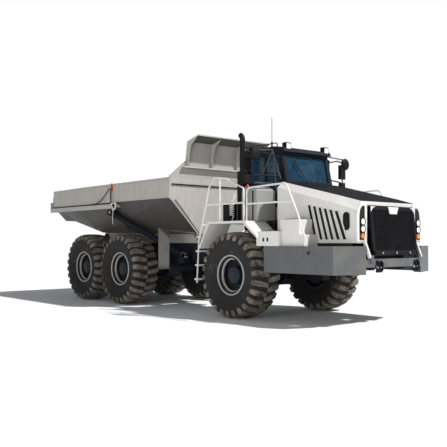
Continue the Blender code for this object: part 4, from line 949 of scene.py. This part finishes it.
def build_chain():
    """The tailgate's chain hangs from the guide to the gate's arm, in a fixed sag."""
    for side, sign in SIDES.items():
        y = sign * CHAIN_Y
        points = []
        start = Vector((ahead(-4.84), y, 3.10))
        end = Vector((ahead(-5.75), y, 2.68))
        for step in range(CHAIN_LINKS + 1):
            share = step / CHAIN_LINKS
            place = start.lerp(end, share)
            place.z -= CHAIN_SAG * math.sin(math.pi * share)
            points.append(place)
        links = Shape()
        for index, (first, second) in enumerate(zip(points, points[1:])):
            turn = Vector((0, 0.012, 0)) if index % 2 else Vector((0, 0, 0.012))
            links.bar(first - turn, second - turn, 0.007, 8)
            links.bar(first + turn, second + turn, 0.007, 8)
        chain = links.piece(f"gate_chain_{side}", None, "black_steel", BLACK)
        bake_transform(chain)


# ---------------------------------------------------------------- stage
KEY_PLACE, KEY_AIM = (12, 6.5, 16), (0, 0, 1)
FILL_PLACE, FILL_AIM = (8.5, -12, 3.0), (2.0, 0, 1.8)


def build_stage():
    """A pale floor, a world that the camera sees white, and two lamps."""
    bpy.ops.mesh.primitive_plane_add(size=120, location=(0, 0, 0))
    floor = bpy.context.object
    floor.name = "floor"
    made, tree, shader = shader_of("pale_floor")
    place = tree.nodes.new("ShaderNodeTexCoord").outputs["Object"]
    tree.links.new(mix(tree, noise(tree, place, 0.4), (0.92, 0.92, 0.92), (0.90, 0.90, 0.90)),
                   shader.inputs["Base Color"])
    shader.inputs["Roughness"].default_value = 0.9
    floor.data.materials.append(made)
    world = bpy.data.worlds.new("studio")
    bpy.context.scene.world = world
    world.use_nodes = True
    tree = world.node_tree
    tree.nodes.clear()
    out = tree.nodes.new("ShaderNodeOutputWorld")
    light = tree.nodes.new("ShaderNodeBackground")
    light.inputs["Color"].default_value = (0.92, 0.95, 1.0, 1.0)
    light.inputs["Strength"].default_value = 0.26
    seen = tree.nodes.new("ShaderNodeBackground")
    seen.inputs["Color"].default_value = (1.0, 1.0, 1.0, 1.0)
    seen.inputs["Strength"].default_value = 1.0
    path = tree.nodes.new("ShaderNodeLightPath")
    choose = tree.nodes.new("ShaderNodeMixShader")
    tree.links.new(path.outputs["Is Camera Ray"], choose.inputs["Fac"])
    tree.links.new(light.outputs[0], choose.inputs[1])
    tree.links.new(seen.outputs[0], choose.inputs[2])
    tree.links.new(choose.outputs[0], out.inputs["Surface"])
    lamp("key", "SUN", KEY_PLACE, KEY_AIM, power=4.2, size=0.04)
    lamp("fill", "AREA", FILL_PLACE, FILL_AIM, power=420, size=6)


def lamp(name, kind, place, aim, power, size):
    """Size is an angle in radians for a sun, and a length for an area lamp."""
    data = bpy.data.lights.new(name, kind)
    data.energy = power
    if kind == "SUN":
        data.angle = size
    else:
        data.size = size
    made = bpy.data.objects.new(name, data)
    bpy.context.scene.collection.objects.link(made)
    made.location = place
    made.rotation_euler = (Vector(aim) - Vector(place)).to_track_quat("-Z", "Y").to_euler()


def build_camera():
    """The photo's view, from ahead of the right front corner."""
    data = bpy.data.cameras.new("camera")
    data.sensor_width = 36.0
    data.lens = 54.3
    made = bpy.data.objects.new("camera", data)
    bpy.context.scene.collection.objects.link(made)
    made.location = (ahead(10.99), -11.19, 1.663)
    yaw, pitch = math.radians(139.53), math.radians(1.52)
    aim = Vector((math.cos(pitch) * math.cos(yaw), math.cos(pitch) * math.sin(yaw), math.sin(pitch)))
    made.rotation_euler = aim.to_track_quat("-Z", "Y").to_euler()
    bpy.context.scene.camera = made


build_camera()
finish_cad_nodes()
for axle_name in ("front", "middle", "rear"):
    for side_name in SIDES:
        build_tyre(axle_name, side_name)
        build_rim(axle_name, side_name)
build_louvres()
build_hood_cover()
build_lamps()
build_grille()
build_bumper()
build_cab()
build_seat()
build_machinery()
build_mirror_frames()
build_tank()
build_step_details()
build_bosses()
build_wall_flanges()
build_body_trim()
build_tail_lip()
build_chain()
build_stage()
bpy.context.scene.view_settings.view_transform = "Standard"
